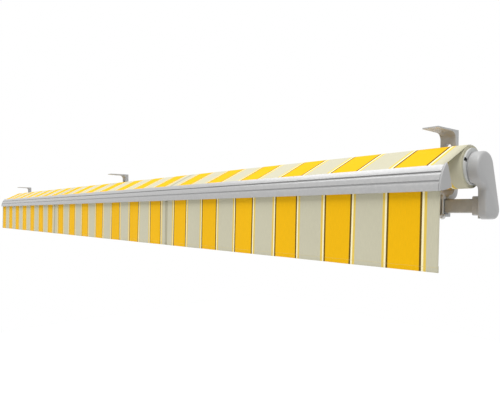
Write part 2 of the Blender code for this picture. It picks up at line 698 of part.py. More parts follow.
def make_cloth_span(carrier):
    """Cloth from the front bar's channel up to where it touches the roll."""
    centre, out = front_channel()
    start = Vector((FRONT.y, FRONT.z)) + centre + (COVER_CHANNEL_DEPTH + 2 * SEAT) * out
    to_roll = Vector((ROLLER.y, ROLLER.z)) - start
    radius = ROLL_RADIUS + SEAT
    slope = math.atan2(to_roll.y, to_roll.x) + math.asin(radius / to_roll.length)
    length = math.sqrt(to_roll.length_squared - radius ** 2)
    along = Vector((math.cos(slope), math.sin(slope)))
    up = Vector((-along.y, along.x))
    corners = [start, start + length * along, start + length * along + CLOTH * up, start + CLOTH * up]
    home = Vector((ROLLER.y, ROLLER.z))
    mesh = prism(bmesh.new(), [tuple(c - home) for c in corners], -HALF_WIDTH, HALF_WIDTH)
    add_piece("cloth_span", mesh, awning_cloth(), parent=carrier)


# Worm gear

def wheel_outline():
    """Worm wheel with straight-flanked teeth and a gap facing the worm, at -Y."""
    pitch = math.tau / WORM_TEETH
    root = WHEEL_RADIUS - TOOTH_ADDENDUM - TOOTH_CLEARANCE
    tip = WHEEL_RADIUS + TOOTH_ADDENDUM
    lean = math.tan(math.radians(FLANK_SLOPE))
    half = TOOTH_SHARE * WORM_LEAD / 2
    points = []
    for tooth in range(WORM_TEETH):
        middle = math.pi + (2 * tooth + 1) * pitch / 2
        for radius, side in ((root, -1), (tip, -1), (tip, 1), (root, 1)):
            width = half - (radius - WHEEL_RADIUS) * lean
            angle = middle + side * width / radius
            points.append((radius * math.cos(angle), radius * math.sin(angle)))
    return points


def make_worm_wheel(axis):
    """Wheel on the square shaft that drives the left plug. Its teeth lean with the worm's thread."""
    lean = WORM_LEAD / (math.tau * WORM_RADIUS)
    twist = WHEEL_WIDTH * lean / WHEEL_RADIUS
    mesh = prism(bmesh.new(), wheel_outline(), -WHEEL_WIDTH / 2, WHEEL_WIDTH / 2, twist=twist)
    bmesh.ops.rotate(mesh, cent=(0, 0, 0), matrix=Matrix.Rotation(-twist / 2, 3, "X"), verts=mesh.verts)
    wheel = add_piece("worm_wheel", mesh, brass(), (-HALF_WIDTH - GEAR_AT, 0, 0), axis)
    shaft = bmesh.new()
    square = rounded_box(DRIVE_SQUARE, DRIVE_SQUARE, DRIVE_SQUARE_EDGE)
    prism(shaft, square, WHEEL_WIDTH / 4, GEAR_AT + PLUG_DEPTH)
    boolean(wheel, tool_for(wheel, "_shaft", shaft), "UNION")
    bearing = rod(DRIVE_JOURNAL, WHEEL_WIDTH / 4, GEAR_AT - GEAR_START)
    boolean(wheel, tool_for(wheel, "_bearing", bearing), "UNION")


def make_gear_housing():
    """Round housing in the left end bracket: a cup round the wheel and worm, and its lid."""
    place = ROLLER + Vector((-HALF_WIDTH, 0, 0))
    radius = GEAR_CAVITY_RADIUS + GEAR_WALL
    start = GEAR_START
    end = COVER_START + COVER_DEPTH - COVER_WALL - SEAT
    lid_start = end - GEAR_LID
    bore = DRIVE_JOURNAL + PIN_FIT
    profile = [(start, bore), (start, radius), (lid_start - SEAT, radius), (lid_start - SEAT, GEAR_CAVITY_RADIUS),
               (start + GEAR_WALL, GEAR_CAVITY_RADIUS), (start + GEAR_WALL, bore)]
    cup = turned(bmesh.new(), profile, "x", GEAR_ROUND)
    housing = add_piece("gear_housing", cup, cast_aluminium(), place, None, True)
    hole = rod(CRANK_SHAFT_RADIUS + PIN_FIT, -2 * radius, 0, "z", (GEAR_AT, -WORM_AHEAD, 0))
    boolean(housing, tool_for(housing, "_shaft_hole", hole, True))
    lid = rod(radius, lid_start, end, sides=GEAR_ROUND)
    add_piece("gear_lid", lid, cast_aluminium(), place, None, True)


def worm_thread(turns, sides=14):
    """Helical rib of the worm, its middle facing the wheel at the origin's height."""
    mesh = bmesh.new()
    lean = math.tan(math.radians(FLANK_SLOPE))
    outer = WORM_RADIUS + TOOTH_ADDENDUM
    inner = WORM_CORE - WORM_SUNK
    half = TOOTH_SHARE * WORM_LEAD / 2
    half_outer = half - TOOTH_ADDENDUM * lean
    half_inner = half + (WORM_RADIUS - inner) * lean
    section = ((inner, -half_inner), (outer, -half_outer), (outer, half_outer), (inner, half_inner))
    steps = round(turns * sides)
    rings = []
    for step in range(steps + 1):
        turn = math.tau * (step / sides - turns / 2)
        angle = turn + math.pi / 2
        lift = WORM_LEAD * turn / math.tau
        rings.append([mesh.verts.new((r * math.cos(angle), r * math.sin(angle), z + lift)) for r, z in section])
    for low, high in zip(rings, rings[1:]):
        for i in range(4):
            j = (i + 1) % 4
            mesh.faces.new((low[i], low[j], high[j], high[i]))
    mesh.faces.new(reversed(rings[0]))
    mesh.faces.new(rings[-1])
    return mesh


def make_crank(axis):
    """Worm on its shaft, and the eye that the hand crank hooks into."""
    thread_end = math.sqrt(GEAR_CAVITY_RADIUS ** 2 - (WORM_AHEAD + WORM_RADIUS + TOOTH_ADDENDUM) ** 2) - RUN
    turns = min(WORM_TURNS, 2 * thread_end / WORM_LEAD - 2 * TOOTH_SHARE)
    shaft_low = -EYE_DROP + EYE_RADIUS + EYE_WIRE + EYE_FLOOR
    roof = math.sqrt(GEAR_CAVITY_RADIUS ** 2 - (WORM_AHEAD + WORM_CORE) ** 2) - RUN
    profile = [(roof, 0), (roof, WORM_CORE), (-thread_end, WORM_CORE), (-thread_end, CRANK_SHAFT_RADIUS),
               (shaft_low, CRANK_SHAFT_RADIUS), (shaft_low, 0)]
    worm = add_piece("worm_shaft", turned(bmesh.new(), profile, "z"), steel(), parent=axis)
    boolean(worm, tool_for(worm, "_thread", worm_thread(turns)), "UNION")

    ring = bmesh.new()
    turned(ring, circle(EYE_WIRE, 8, (0, EYE_RADIUS)), "x")
    bmesh.ops.translate(ring, vec=(0, 0, -EYE_DROP), verts=ring.verts)
    eye = add_piece("crank_eye", ring, cast_aluminium(), parent=axis)
    socket_low = -EYE_DROP + EYE_RADIUS
    socket = rod(EYE_SOCKET_RADIUS, socket_low, socket_low + EYE_SOCKET, "z")
    boolean(eye, tool_for(eye, "_socket", socket), "UNION")
    bore = rod(CRANK_SHAFT_RADIUS + SEAT, shaft_low - SEAT, 0, "z")
    boolean(eye, tool_for(eye, "_bore", bore))


# Folding arms. In an arm's frame X is the awning's X and -Y points forward along the arms' plane.

def make_shoulder_bracket(name, sign):
    """Saddle on the torsion bar with two ears that hold the shoulder pin, and its back plate."""
    x = CENTRE_X + sign * SHOULDER_X
    hole = BAR_SIZE + 2 * SEAT
    low, high = -hole / 2 - SADDLE_LIP, hole / 2 + SADDLE_LIP
    front, back = -hole / 2 - SADDLE_WALL, hole / 2
    outline = rounded_box(back - front, high - low, SADDLE_CORNER, ((back + front) / 2, (high + low) / 2))
    mesh = prism(bmesh.new(), outline, -SADDLE_WIDTH / 2, SADDLE_WIDTH / 2)
    saddle = add_piece("shoulder_bracket_" + name, mesh, cast_aluminium(), (x, BAR.y, BAR.z))

    pivot = Vector((0, SHOULDER.y - BAR.y, SHOULDER.z - BAR.z))
    tilt = Matrix.Rotation(PITCH, 3, "X")
    ears = bmesh.new()
    reach = SHOULDER_AHEAD
    shape = hull(circle(KNUCKLE_RADIUS + SHOULDER_EAR_MARGIN) + [(-SADDLE_EAR_HALF, reach), (SADDLE_EAR_HALF, reach)])
    inside = KNUCKLE_HALF + RUN
    for start, end in ((-inside - SHOULDER_EAR, -inside), (inside, inside + SHOULDER_EAR)):
        prism(ears, shape, start, end, "z")
    bmesh.ops.rotate(ears, cent=(0, 0, 0), matrix=tilt, verts=ears.verts)
    bmesh.ops.translate(ears, vec=pivot, verts=ears.verts)
    boolean(saddle, tool_for(saddle, "_ears", ears), "UNION")
    cavity = block((-SADDLE_WIDTH, -hole / 2, -hole / 2), (SADDLE_WIDTH, 2 * BAR_SIZE, hole / 2))
    boolean(saddle, tool_for(saddle, "_cavity", cavity))
    bore = rod(PIN_RADIUS + SEAT, -2 * ARM_HEIGHT, 2 * ARM_HEIGHT, "z")
    bmesh.ops.rotate(bore, cent=(0, 0, 0), matrix=tilt, verts=bore.verts)
    bmesh.ops.translate(bore, vec=pivot, verts=bore.verts)
    boolean(saddle, tool_for(saddle, "_pin_bore", bore))

    spots = [(sx * SADDLE_BOLT_PITCH / 2, sz * (hole / 2 + SADDLE_LIP / 2)) for sx in (-1, 1) for sz in (-1, 1)]
    threads = bmesh.new()
    through = bmesh.new()
    plate_start = back + SEAT
    plate_end = plate_start + BACK_PLATE
    for u, w in spots:
        merge(threads, rod(BOLT_RADIUS + SEAT, back - SADDLE_BOLT_THREAD - SEAT, back + BACK_PLATE, "y",
                           (u, 0, w), BOLT_ROUND))
        merge(through, rod(BOLT_RADIUS + SEAT, back - BACK_PLATE, plate_end + BACK_PLATE, "y", (u, 0, w), BOLT_ROUND))
    boolean(saddle, tool_for(saddle, "_bolt_holes", threads))
    shape = rounded_box(SADDLE_WIDTH, high - low, BACK_PLATE_CORNER)
    plate = prism(bmesh.new(), shape, plate_start, plate_end, "y")
    cover = add_piece("shoulder_back_plate_" + name, plate, cast_aluminium(), (x, BAR.y, BAR.z))
    boolean(cover, tool_for(cover, "_bolt_holes", through))


def pin_mesh(half):
    """Pivot pin with a round head below and a flat clip above; half is where the ears end."""
    seat = half + SEAT
    clip_end = seat + PIN_HEAD / 2
    dome = [(-seat - 2 * PIN_HEAD * v, PIN_HEAD_RADIUS * u) for u, v in circle(1, 8, (0, 0), 0, 90)]
    profile = [*reversed(dome), (-seat, PIN_RADIUS), (seat, PIN_RADIUS), (seat, PIN_CLIP_RADIUS),
               (clip_end, PIN_CLIP_RADIUS), (clip_end, 0)]
    return turned(bmesh.new(), profile, "z", PIN_ROUND)


def tube_ends(pivot_a, pivot_b):
    """Start and end of a tube between two pivots, in X."""
    toward = 1 if pivot_b > pivot_a else -1
    return pivot_a + toward * PIVOT_TO_TUBE, pivot_b - toward * PIVOT_TO_TUBE


def make_arm_tube(name, carrier, origin, start, end, y):
    """Extruded arm tube from start to end in X, at y. origin is the carrier's own place."""
    outer = rounded_box(ARM_WIDTH, ARM_HEIGHT, ARM_CORNER, (y - origin.y, -origin.z), 3)
    inner = rounded_box(ARM_WIDTH - 2 * ARM_WALL, ARM_HEIGHT - 2 * ARM_WALL, ARM_CORNER - ARM_WALL,
                        (y - origin.y, -origin.z))
    low, high = sorted((start - origin.x, end - origin.x))
    mesh = prism(bmesh.new(), outer, low, high, "x", [inner])
    add_piece(name, mesh, extruded_aluminium(), parent=carrier)


def arm_casting(name, carrier, origin, pivot, tube_start, y, half, radius):
    """Cast end of an arm tube: an insert in the tube, a collar flush with it and a neck to the pivot's boss."""
    toward = 1 if tube_start > pivot.x else -1
    base = Vector((origin.x, origin.y))
    centre = Vector((pivot.x, pivot.y)) - base
    row = y - origin.y
    face = tube_start - origin.x - toward * SEAT
    collar = face - toward * COLLAR_LENGTH
    boss = circle(radius, ROUND, centre)
    neck = [(collar + toward * NECK_INSET, row + s * (ARM_WIDTH / 2 - NECK_INSET)) for s in (-1, 1)]
    mesh = prism(bmesh.new(), hull(boss + neck), -half, half, "z")
    piece = add_piece(name, mesh, cast_aluminium(), parent=carrier)
    low, high = sorted((collar, face))
    flush = prism(bmesh.new(), rounded_box(ARM_WIDTH, ARM_HEIGHT, ARM_CORNER, (row, 0), 3), low, high)
    boolean(piece, tool_for(piece, "_collar", flush), "UNION")
    inside = 2 * (ARM_WALL + SEAT)
    low, high = sorted((collar + toward * COLLAR_LENGTH / 2, face + toward * INSERT_LENGTH))
    insert = prism(bmesh.new(), rounded_box(ARM_WIDTH - inside, ARM_HEIGHT - inside, ARM_CORNER - ARM_WALL, (row, 0)),
                   low, high)
    boolean(piece, tool_for(piece, "_insert", insert), "UNION")
    return piece, centre


def make_knuckle(name, carrier, origin, pivot, tube_start, y, half=KNUCKLE_HALF, radius=KNUCKLE_RADIUS):
    """Arm end with one round boss that turns on a pin."""
    piece, centre = arm_casting(name, carrier, origin, pivot, tube_start, y, half, radius)
    bore = rod(PIN_RADIUS + PIN_FIT, -2 * half, 2 * half, "z", (*centre, 0), PIN_ROUND)
    boolean(piece, tool_for(piece, "_bore", bore))
    return piece, centre


def make_elbow_fork(name, carrier, origin, pivot, tube_start, y):
    """Arm end with two ears round the other half's boss, joined by a web on the far side."""
    outside = KNUCKLE_HALF + RUN + ELBOW_EAR
    piece, centre = arm_casting(name, carrier, origin, pivot, tube_start, y, outside, KNUCKLE_RADIUS)
    toward = 1 if tube_start > pivot.x else -1
    gap = KNUCKLE_HALF + RUN
    far = -2 * KNUCKLE_RADIUS
    near = PIVOT_TO_TUBE - COLLAR_LENGTH - 2 * SEAT
    rows = [(far, 2 * KNUCKLE_RADIUS), (far, -2 * ARM_WIDTH), (near, -2 * ARM_WIDTH),
            (near, TUBE_OFFSET - ARM_WIDTH / 2 + RUN), (ELBOW_WEB + ELBOW_WEB_LEAN, ELBOW_SLOT_SIDE),
            (ELBOW_WEB, 2 * KNUCKLE_RADIUS)]
    slot = [(centre[0] + toward * along, centre[1] + across) for along, across in rows]
    cut = prism(bmesh.new(), slot, -gap, gap, "z")
    boolean(piece, tool_for(piece, "_slot", cut))
    bore = rod(PIN_RADIUS + SEAT, -2 * outside, 2 * outside, "z", (*centre, 0))
    boolean(piece, tool_for(piece, "_bore", bore))


def make_arm(name, sign):
    """One arm with its carriers: shoulder, elbow and hand axes, each carried by the one before."""
    plane = anchor("arm_plane_" + name, SHOULDER + Vector((sign * SHOULDER_X, 0, 0)), turn=PITCH)
    shoulder_axis = anchor("shoulder_axis_" + name, (0, 0, 0), plane)
    shoulder = Vector((0, 0, 0))
    elbow = Vector((-sign * ELBOW_REACH, -FOLDED_REACH / 2, 0))
    hand = Vector((0, -FOLDED_REACH, 0))
    elbow_axis = anchor("elbow_axis_" + name, elbow, shoulder_axis)
    hand_axis = anchor("hand_axis_" + name, hand - elbow, elbow_axis)
    upper_y = elbow.y + TUBE_OFFSET
    fore_y = elbow.y - TUBE_OFFSET
    start, end = tube_ends(shoulder.x, elbow.x)

    make_arm_tube("upper_arm_" + name, shoulder_axis, shoulder, start, end, upper_y)
    make_knuckle("shoulder_knuckle_" + name, shoulder_axis, shoulder, shoulder, start, upper_y)
    make_elbow_fork("elbow_fork_" + name, shoulder_axis, shoulder, elbow, end, upper_y)
    add_piece("shoulder_pin_" + name, pin_mesh(KNUCKLE_HALF + RUN + SHOULDER_EAR), steel(), parent=plane)
    add_piece("elbow_pin_" + name, pin_mesh(KNUCKLE_HALF + RUN + ELBOW_EAR), steel(), elbow, shoulder_axis)

    make_arm_tube("forearm_" + name, elbow_axis, elbow, start, end, fore_y)
    knuckle, centre = make_knuckle("elbow_knuckle_" + name, elbow_axis, elbow, elbow, end, fore_y)
    make_elbow_cable(name, sign, elbow_axis, knuckle)
    make_knuckle("hand_knuckle_" + name, elbow_axis, elbow, hand, start, fore_y, HAND_HALF, HAND_RADIUS)
    return hand_axis


def make_elbow_cable(name, sign, carrier, knuckle):
    """The spring's flat cable, wound in the groove of the elbow boss on the inward side."""
    inner = KNUCKLE_RADIUS - CABLE_GROOVE
    first, last = CABLE_WRAP if sign > 0 else (180 - CABLE_WRAP[1], 180 - CABLE_WRAP[0])
    band = circle(KNUCKLE_RADIUS - CABLE_SUNK, ROUND, (0, 0), first, last)
    band += reversed(circle(inner + SEAT, ROUND, (0, 0), first, last))
    add_piece("elbow_cable_" + name, prism(bmesh.new(), band, -CABLE_HALF, CABLE_HALF, "z"), steel(), parent=carrier)
    first, last = first - CABLE_END_PLAY, last + CABLE_END_PLAY
    wide = circle(2 * KNUCKLE_RADIUS, ROUND, (0, 0), first, last)
    wide += reversed(circle(inner, ROUND, (0, 0), first, last))
    groove = prism(bmesh.new(), wide, -CABLE_HALF - SEAT, CABLE_HALF + SEAT, "z")
    boolean(knuckle, tool_for(knuckle, "_cable_groove", groove))


# Front bar

def front_face(z, inset=0.0):
    """The front bar's curved face: its y at a height, from the front bar's place."""
    nose = Vector((-FRONT_NOSE, -FRONT_NOSE_DROP))
    chord = FRONT_TOP - nose
    across = Vector((chord.y, -chord.x)).normalized()
    rise = math.sqrt(FRONT_FACE_RADIUS ** 2 - chord.length_squared / 4)
    centre = (nose + FRONT_TOP) / 2 + rise * across
    return centre.x - math.sqrt((FRONT_FACE_RADIUS - inset) ** 2 - (z - centre.y) ** 2)


def face_points(low, high, inset=0.0, steps=3):
    heights = [low + (high - low) * i / steps for i in range(steps + 1)]
    return [(front_face(z, inset), z) for z in heights]


def front_back_line(z):
    """The front bar's straight leaning back: its y at a height."""
    share = (z - FRONT_BACK_RISE) / (FRONT_TOP_REAR.y - FRONT_BACK_RISE)
    return FRONT_BACK + (FRONT_TOP_REAR.x - FRONT_BACK) * share


def keyhole(centre, out, reach, radius, width):
    """Round bead or channel with a straight neck along out: its outline from one lip to the other."""
    side = Vector((-out.y, out.x))
    lip = centre + reach * out
    opening = math.asin(width / 2 / radius)
    steps = 14
    turns = [opening + (math.tau - 2 * opening) * i / steps for i in range(steps + 1)]
    bead = [centre + radius * (math.cos(turn) * out + math.sin(turn) * side) for turn in turns]
    return [tuple(p) for p in (lip + width / 2 * side, *bead, lip - width / 2 * side)]


def front_outline():
    """Section of the front bar with two grooves in its face and a cloth channel above and below."""
    points = []
    z = -FRONT_NOSE_DROP
    for middle in FACE_GROOVES:
        low, high = middle - FACE_GROOVE_HEIGHT / 2, middle + FACE_GROOVE_HEIGHT / 2
        points += face_points(z, low)
        points += [(front_face(low, FACE_GROOVE), low), (front_face(high, FACE_GROOVE), high)]
        z = high
    front_lip, rear_lip = front_lips()
    points += face_points(z, front_lip.y)
    points += keyhole(*front_channel(), COVER_CHANNEL_DEPTH, CHANNEL_RADIUS, CHANNEL_MOUTH)
    points += [tuple(rear_lip), (FRONT_BACK, FRONT_BACK_RISE), FRONT_HEEL, FRONT_BELLY]
    belly = belly_height(0)
    centre = Vector((0, VALANCE_CHANNEL_RISE))
    reach = VALANCE_CHANNEL_RISE - belly
    points += keyhole(centre, Vector((0, -1)), reach, CHANNEL_RADIUS, CHANNEL_MOUTH)
    return [*points, FRONT_TOE]


def belly_height(y):
    """Height of the front bar's underside at y, between its toe, belly and heel."""
    start, end = (FRONT_TOE, FRONT_BELLY) if y < FRONT_BELLY[0] else (FRONT_BELLY, FRONT_HEEL)
    return start[1] + (end[1] - start[1]) * (y - start[0]) / (end[0] - start[0])


def front_chamber(inset=0.0):
    """Main hollow of the front bar, or the peg that fits in it."""
    centre, _ = front_channel()
    low = VALANCE_CHANNEL_RISE + CHANNEL_RADIUS + FRONT_WALL + inset
    high = centre.y - CHANNEL_RADIUS - FRONT_WALL - inset
    wall = FRONT_WALL + inset
    front = face_points(low, high, FACE_GROOVE + wall, 4)
    return [*front, (front_back_line(high) - wall, high), (front_back_line(low) - wall, low)]


def front_pocket():
    """Small hollow behind the valance's channel."""
    top = VALANCE_CHANNEL_RISE + CHANNEL_RADIUS
    front = CHANNEL_RADIUS + FRONT_WALL
    return [(front, top), (front, FRONT_WALL), (FRONT_BELLY[0], FRONT_BELLY[1] + FRONT_WALL),
            (FRONT_HEEL[0] - FRONT_WALL / 2, FRONT_HEEL[1] + FRONT_WALL), (front_back_line(top) - FRONT_WALL, top)]


def make_front_profile(frame):
    mesh = prism(bmesh.new(), front_outline(), -HALF_WIDTH, HALF_WIDTH, "x", [front_chamber(), front_pocket()])
    profile = add_piece("front_profile", mesh, extruded_aluminium(), parent=frame)
    holes = bmesh.new()
    for sign in (-1, 1):
        merge(holes, hand_bolt_holes(-2 * FRONT_WALL, HAND_PLATE), (sign * SHOULDER_X, 0, 0))
    boolean(profile, tool_for(profile, "_bolt_holes", holes))


def hand_bolt_holes(start, end):
    """Two bolt holes square to the front bar's back, from start inside it to end behind it."""
    lean = math.atan2(FRONT_BACK - FRONT_TOP_REAR.x, FRONT_TOP_REAR.y - FRONT_BACK_RISE)
    holes = bmesh.new()
    for side in (-1, 1):
        merge(holes, rod(BOLT_RADIUS + SEAT, start, end, "y", (side * HAND_BOLT_PITCH / 2, 0, 0), BOLT_ROUND))
    bmesh.ops.rotate(holes, cent=(0, 0, 0), matrix=Matrix.Rotation(lean, 3, "X"), verts=holes.verts)
    bmesh.ops.translate(holes, vec=(0, front_back_line(HAND_BOLT_RISE), HAND_BOLT_RISE), verts=holes.verts)
    return holes


def make_front_cap(name, sign, flip, frame):
    """End cap: the front bar's outline as a plate, with a peg in the hollow."""
    outline = [*face_points(-FRONT_NOSE_DROP, FRONT_TOP.y, steps=8), tuple(FRONT_TOP_REAR),
               (FRONT_BACK, FRONT_BACK_RISE), FRONT_HEEL, FRONT_BELLY, FRONT_TOE]
    mesh = prism(bmesh.new(), outline, SEAT, SEAT + CAP)
    cap = add_piece("front_cap_" + name, mesh, cover_plastic(), (sign * HALF_WIDTH, 0, 0), frame, flip)
    peg = prism(bmesh.new(), front_chamber(SEAT), -CAP_PEG, SEAT + CAP / 2)
    boolean(cap, tool_for(cap, "_peg", peg, flip), "UNION")


def make_hand_bracket(name, sign, frame):
    """Bracket behind and under the front bar, with two ears that hold the hand pin."""
    gap = RUN
    top = HAND_PLATE_RISE
    thick = HAND_PLATE * math.hypot(1, (FRONT_BACK - FRONT_TOP_REAR.x) / (FRONT_TOP_REAR.y - FRONT_BACK_RISE))
    pivot = Vector((0, FRONT_BACK + HAND_REACH, -FRONT_BAR_ABOVE_HAND))
    outside = HAND_HALF + RUN + HAND_EAR
    back = pivot.y - HAND_RADIUS - HAND_HALF * math.sin(PITCH) - HAND_CLEAR
    front = back - HAND_BLOCK
    reach = pivot.y - back + HAND_BLOCK / 3
    low = pivot.z - outside * math.cos(PITCH) - reach * math.sin(PITCH) - HAND_FLOOR
    corner = HAND_CORNER
    plate_low = FRONT_BACK_RISE - HAND_PLATE_DROP
    outline = [(front_back_line(top) + gap, top), (FRONT_BACK + gap, FRONT_BACK_RISE - gap),
               (FRONT_HEEL[0] + gap, FRONT_HEEL[1] - gap), (front, belly_height(front) - 2 * gap),
               *circle(corner, 12, (front + corner, low + corner), 180, 270),
               *circle(corner, 12, (back - corner, low + corner), 270, 360),
               (back, plate_low - thick), (FRONT_BACK + gap + thick, plate_low),
               (FRONT_BACK + gap + thick, FRONT_BACK_RISE), (front_back_line(top) + gap + thick, top)]
    mesh = prism(bmesh.new(), outline, -HAND_PLATE_WIDTH / 2, HAND_PLATE_WIDTH / 2)
    bracket = add_piece("hand_bracket_" + name, mesh, cast_aluminium(), (sign * SHOULDER_X, 0, 0), frame)
    tilt = Matrix.Rotation(PITCH, 3, "X")
    ears = bmesh.new()
    shape = hull(circle(HAND_RADIUS) + [(-HAND_EAR_HALF, -reach), (HAND_EAR_HALF, -reach)])
    for start, end in ((-outside, -outside + HAND_EAR), (outside - HAND_EAR, outside)):
        prism(ears, shape, start, end, "z")
    bmesh.ops.rotate(ears, cent=(0, 0, 0), matrix=tilt, verts=ears.verts)
    bmesh.ops.translate(ears, vec=pivot, verts=ears.verts)
    boolean(bracket, tool_for(bracket, "_ears", ears), "UNION")
    bore = rod(PIN_RADIUS + SEAT, -2 * outside, 2 * outside, "z")
    bmesh.ops.rotate(bore, cent=(0, 0, 0), matrix=tilt, verts=bore.verts)
    bmesh.ops.translate(bore, vec=pivot, verts=bore.verts)
    boolean(bracket, tool_for(bracket, "_pin_bore", bore))
    boolean(bracket, tool_for(bracket, "_bolt_holes", hand_bolt_holes(-HAND_PLATE, 2 * HAND_PLATE)))
    pin = pin_mesh(outside)
    bmesh.ops.rotate(pin, cent=(0, 0, 0), matrix=tilt, verts=pin.verts)
    add_piece("hand_pin_" + name, pin, steel(), Vector((sign * SHOULDER_X, 0, 0)) + pivot, frame)


def make_valance(frame):
    """Hanging cloth with its bead in the front bar's lower channel and a doubled hem."""
    hem_top = -VALANCE_HEIGHT + HEM_HEIGHT
    centre = Vector((0, VALANCE_CHANNEL_RISE))
    outline = keyhole(centre, Vector((0, -1)), VALANCE_CHANNEL_RISE - hem_top, WELT_RADIUS, CLOTH)
    outline += [(-HEM / 2, hem_top), (-HEM / 2, -VALANCE_HEIGHT), (HEM / 2, -VALANCE_HEIGHT), (HEM / 2, hem_top)]
    add_piece("valance", prism(bmesh.new(), outline, -HALF_WIDTH, HALF_WIDTH), awning_cloth(), parent=frame)


def make_cloth_welt(frame):
    """Bead of the main cloth in the front bar's upper channel."""
    outline = keyhole(*front_channel(), COVER_CHANNEL_DEPTH + SEAT, WELT_RADIUS, CLOTH)
    add_piece("cloth_welt", prism(bmesh.new(), outline, -HALF_WIDTH, HALF_WIDTH), awning_cloth(), parent=frame)


def make_front_bar(hand_axis):
    """The front bar and what it carries, on the right arm's hand pivot."""
    offset = FRONT - HAND - Vector((SHOULDER_X, 0, 0))
    frame = anchor("front_bar", Matrix.Rotation(-PITCH, 3, "X") @ offset, hand_axis, -PITCH)
    make_front_profile(frame)
    for name, sign, flip in ends():
        make_front_cap(name, sign, flip, frame)
        make_hand_bracket(name, sign, frame)
    make_valance(frame)
    make_cloth_welt(frame)


def main():
    clear_scene()
    make_torsion_bar()
    brackets = {
        "right": CENTRE_X + HALF_WIDTH - RIGHT_BRACKET_INSET,
        "middle": 0,
        "left": CENTRE_X - HALF_WIDTH + LEFT_BRACKET_INSET,
    }
    for name, x in brackets.items():
        make_ceiling_bracket(name, x)
        make_clamp(name, x)
    for name, sign, flip in ends():
        make_end_cover(name, sign, flip)
        make_end_bracket(name, sign, flip)
    roller_axis = anchor("roller_axis", ROLLER)
    make_roller(roller_axis)
    make_worm_wheel(roller_axis)
    make_gear_housing()
    make_crank(anchor("crank_axis", ROLLER - Vector((HALF_WIDTH + GEAR_AT, WORM_AHEAD, 0))))
    hand_axes = []
    for name, sign, _ in ends():
        make_shoulder_bracket(name, sign)
        hand_axes.append(make_arm(name, sign))
    make_front_bar(hand_axes[0])
    make_cloth_span(anchor("cloth_carrier", ROLLER))


main()
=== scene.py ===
"""Looks of a retractable folding-arm patio awning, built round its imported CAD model.

The file is laid out as an add-on and run as a script. It loads the CAD model as a fixed frame, gives
each surface its finish, and adds what the solids leave out: the wound and hanging cloth with its
seams, hems and stitches, the small bolts, and the stage. All sizes are in metres, +X runs along the
awning to the right as seen from the garden, +Y points to the wall and +Z up.
"""
import math
from functools import cache

import bmesh
import bpy
from bpy.props import FloatProperty, FloatVectorProperty, PointerProperty
from mathutils import Matrix, Vector


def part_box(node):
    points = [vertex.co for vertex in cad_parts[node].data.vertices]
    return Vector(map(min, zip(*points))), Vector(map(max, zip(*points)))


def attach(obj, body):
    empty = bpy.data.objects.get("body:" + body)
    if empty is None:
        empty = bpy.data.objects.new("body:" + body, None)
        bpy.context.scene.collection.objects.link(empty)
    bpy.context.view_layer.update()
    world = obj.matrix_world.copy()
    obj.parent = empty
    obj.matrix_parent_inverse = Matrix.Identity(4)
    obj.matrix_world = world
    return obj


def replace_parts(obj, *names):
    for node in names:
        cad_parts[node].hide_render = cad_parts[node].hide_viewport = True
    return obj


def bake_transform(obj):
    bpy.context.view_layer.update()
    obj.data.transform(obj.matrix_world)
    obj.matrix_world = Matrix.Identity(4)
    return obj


bl_info = {
    "name": "Folding-arm awning",
    "version": (1, 0, 0),
    "blender": (4, 5, 0),
    "location": "View3D > Sidebar > Awning",
    "description": "Dresses the CAD frame of a striped folding-arm awning",
    "category": "Add Mesh",
}

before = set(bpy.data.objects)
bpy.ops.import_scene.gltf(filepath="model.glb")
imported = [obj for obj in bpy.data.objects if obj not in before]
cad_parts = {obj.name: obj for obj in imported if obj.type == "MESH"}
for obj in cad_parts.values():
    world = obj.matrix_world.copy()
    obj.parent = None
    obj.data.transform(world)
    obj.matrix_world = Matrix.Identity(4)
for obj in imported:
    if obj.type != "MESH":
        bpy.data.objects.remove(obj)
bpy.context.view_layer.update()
SIDES = ("right", "left")
BRACKETS = ("right", "middle", "left")

# Cloth details that are too small to be worth a setting
SOFT_EDGE = 0.0002       # width over which one woven colour turns into the next
STITCH_ROW = 0.66        # place of a seam's rows of thread, as a share of its half width
STITCH_FILL = 0.7        # share of a stitch's pitch that shows thread
CAD_CLOTH = 0.001        # thickness of the CAD model's cloth
TURN_POINTS = 64         # points on each turn of the wound cloth
ROLL_LAP = math.radians(24)   # turn of the roll on which the span's sheet lies
SPAN_TUCK = 0.0012       # length of the span's sheet that is tucked into the front bar
RIPPLE = 0.0003          # height of the span's faint ripples
RIPPLE_TURN = 7.3        # their turn for each metre along the awning, in radians
BEAD_GAP = math.radians(12)   # half the opening of the cloth round a bead
WELT_RADIUS = 0.0026     # bead of the main cloth, with its cloth
WELT_SHORT = 0.0006      # gap between the bead's cloth and the span's sheet
VALANCE_NECK = 0.0016    # way from the valance's bead to where its sheet hangs straight
SHEET_START = 0.002      # first row of the valance's sheet, below its neck
LAP_START = 0.004        # first row of its laps
LAP_STITCH_START = 0.005   # first stitches on them
HEM_STITCH = 0.82        # height of the hem's stitches, as a share of the hem
STITCH_INSET = 0.002     # gap between the hem's last stitch and the cloth's edge
LAP_THICKNESS = 0.9      # a lap's thickness, as a share of the cloth's
WAVES = ((0.6, 1.0, 0.7), (0.36, 0.37, 0.0))   # height, length and start of the valance's waves, as shares
WAVE_GROWTH = 1.5        # how late on the way down the waves grow
WIDE, FINE, BROAD = 0.02, 0.01, 0.5   # spacing of the sheets' columns: span, valance, bead

# Details of the bolts, the cross pin and the stops
SOCKET_DEPTH = 0.45      # floor of a bolt's socket, as a share of the head's height
CUTTER = 0.02            # half the side of the block that cuts the bolt heads flat
STOP_SUNK = 0.0006       # how far a stop lies inside its notch
STOP_THICKNESS = 0.0020  # size of a stop along the roller
STOP_EDGE = 0.0003       # round on its edges

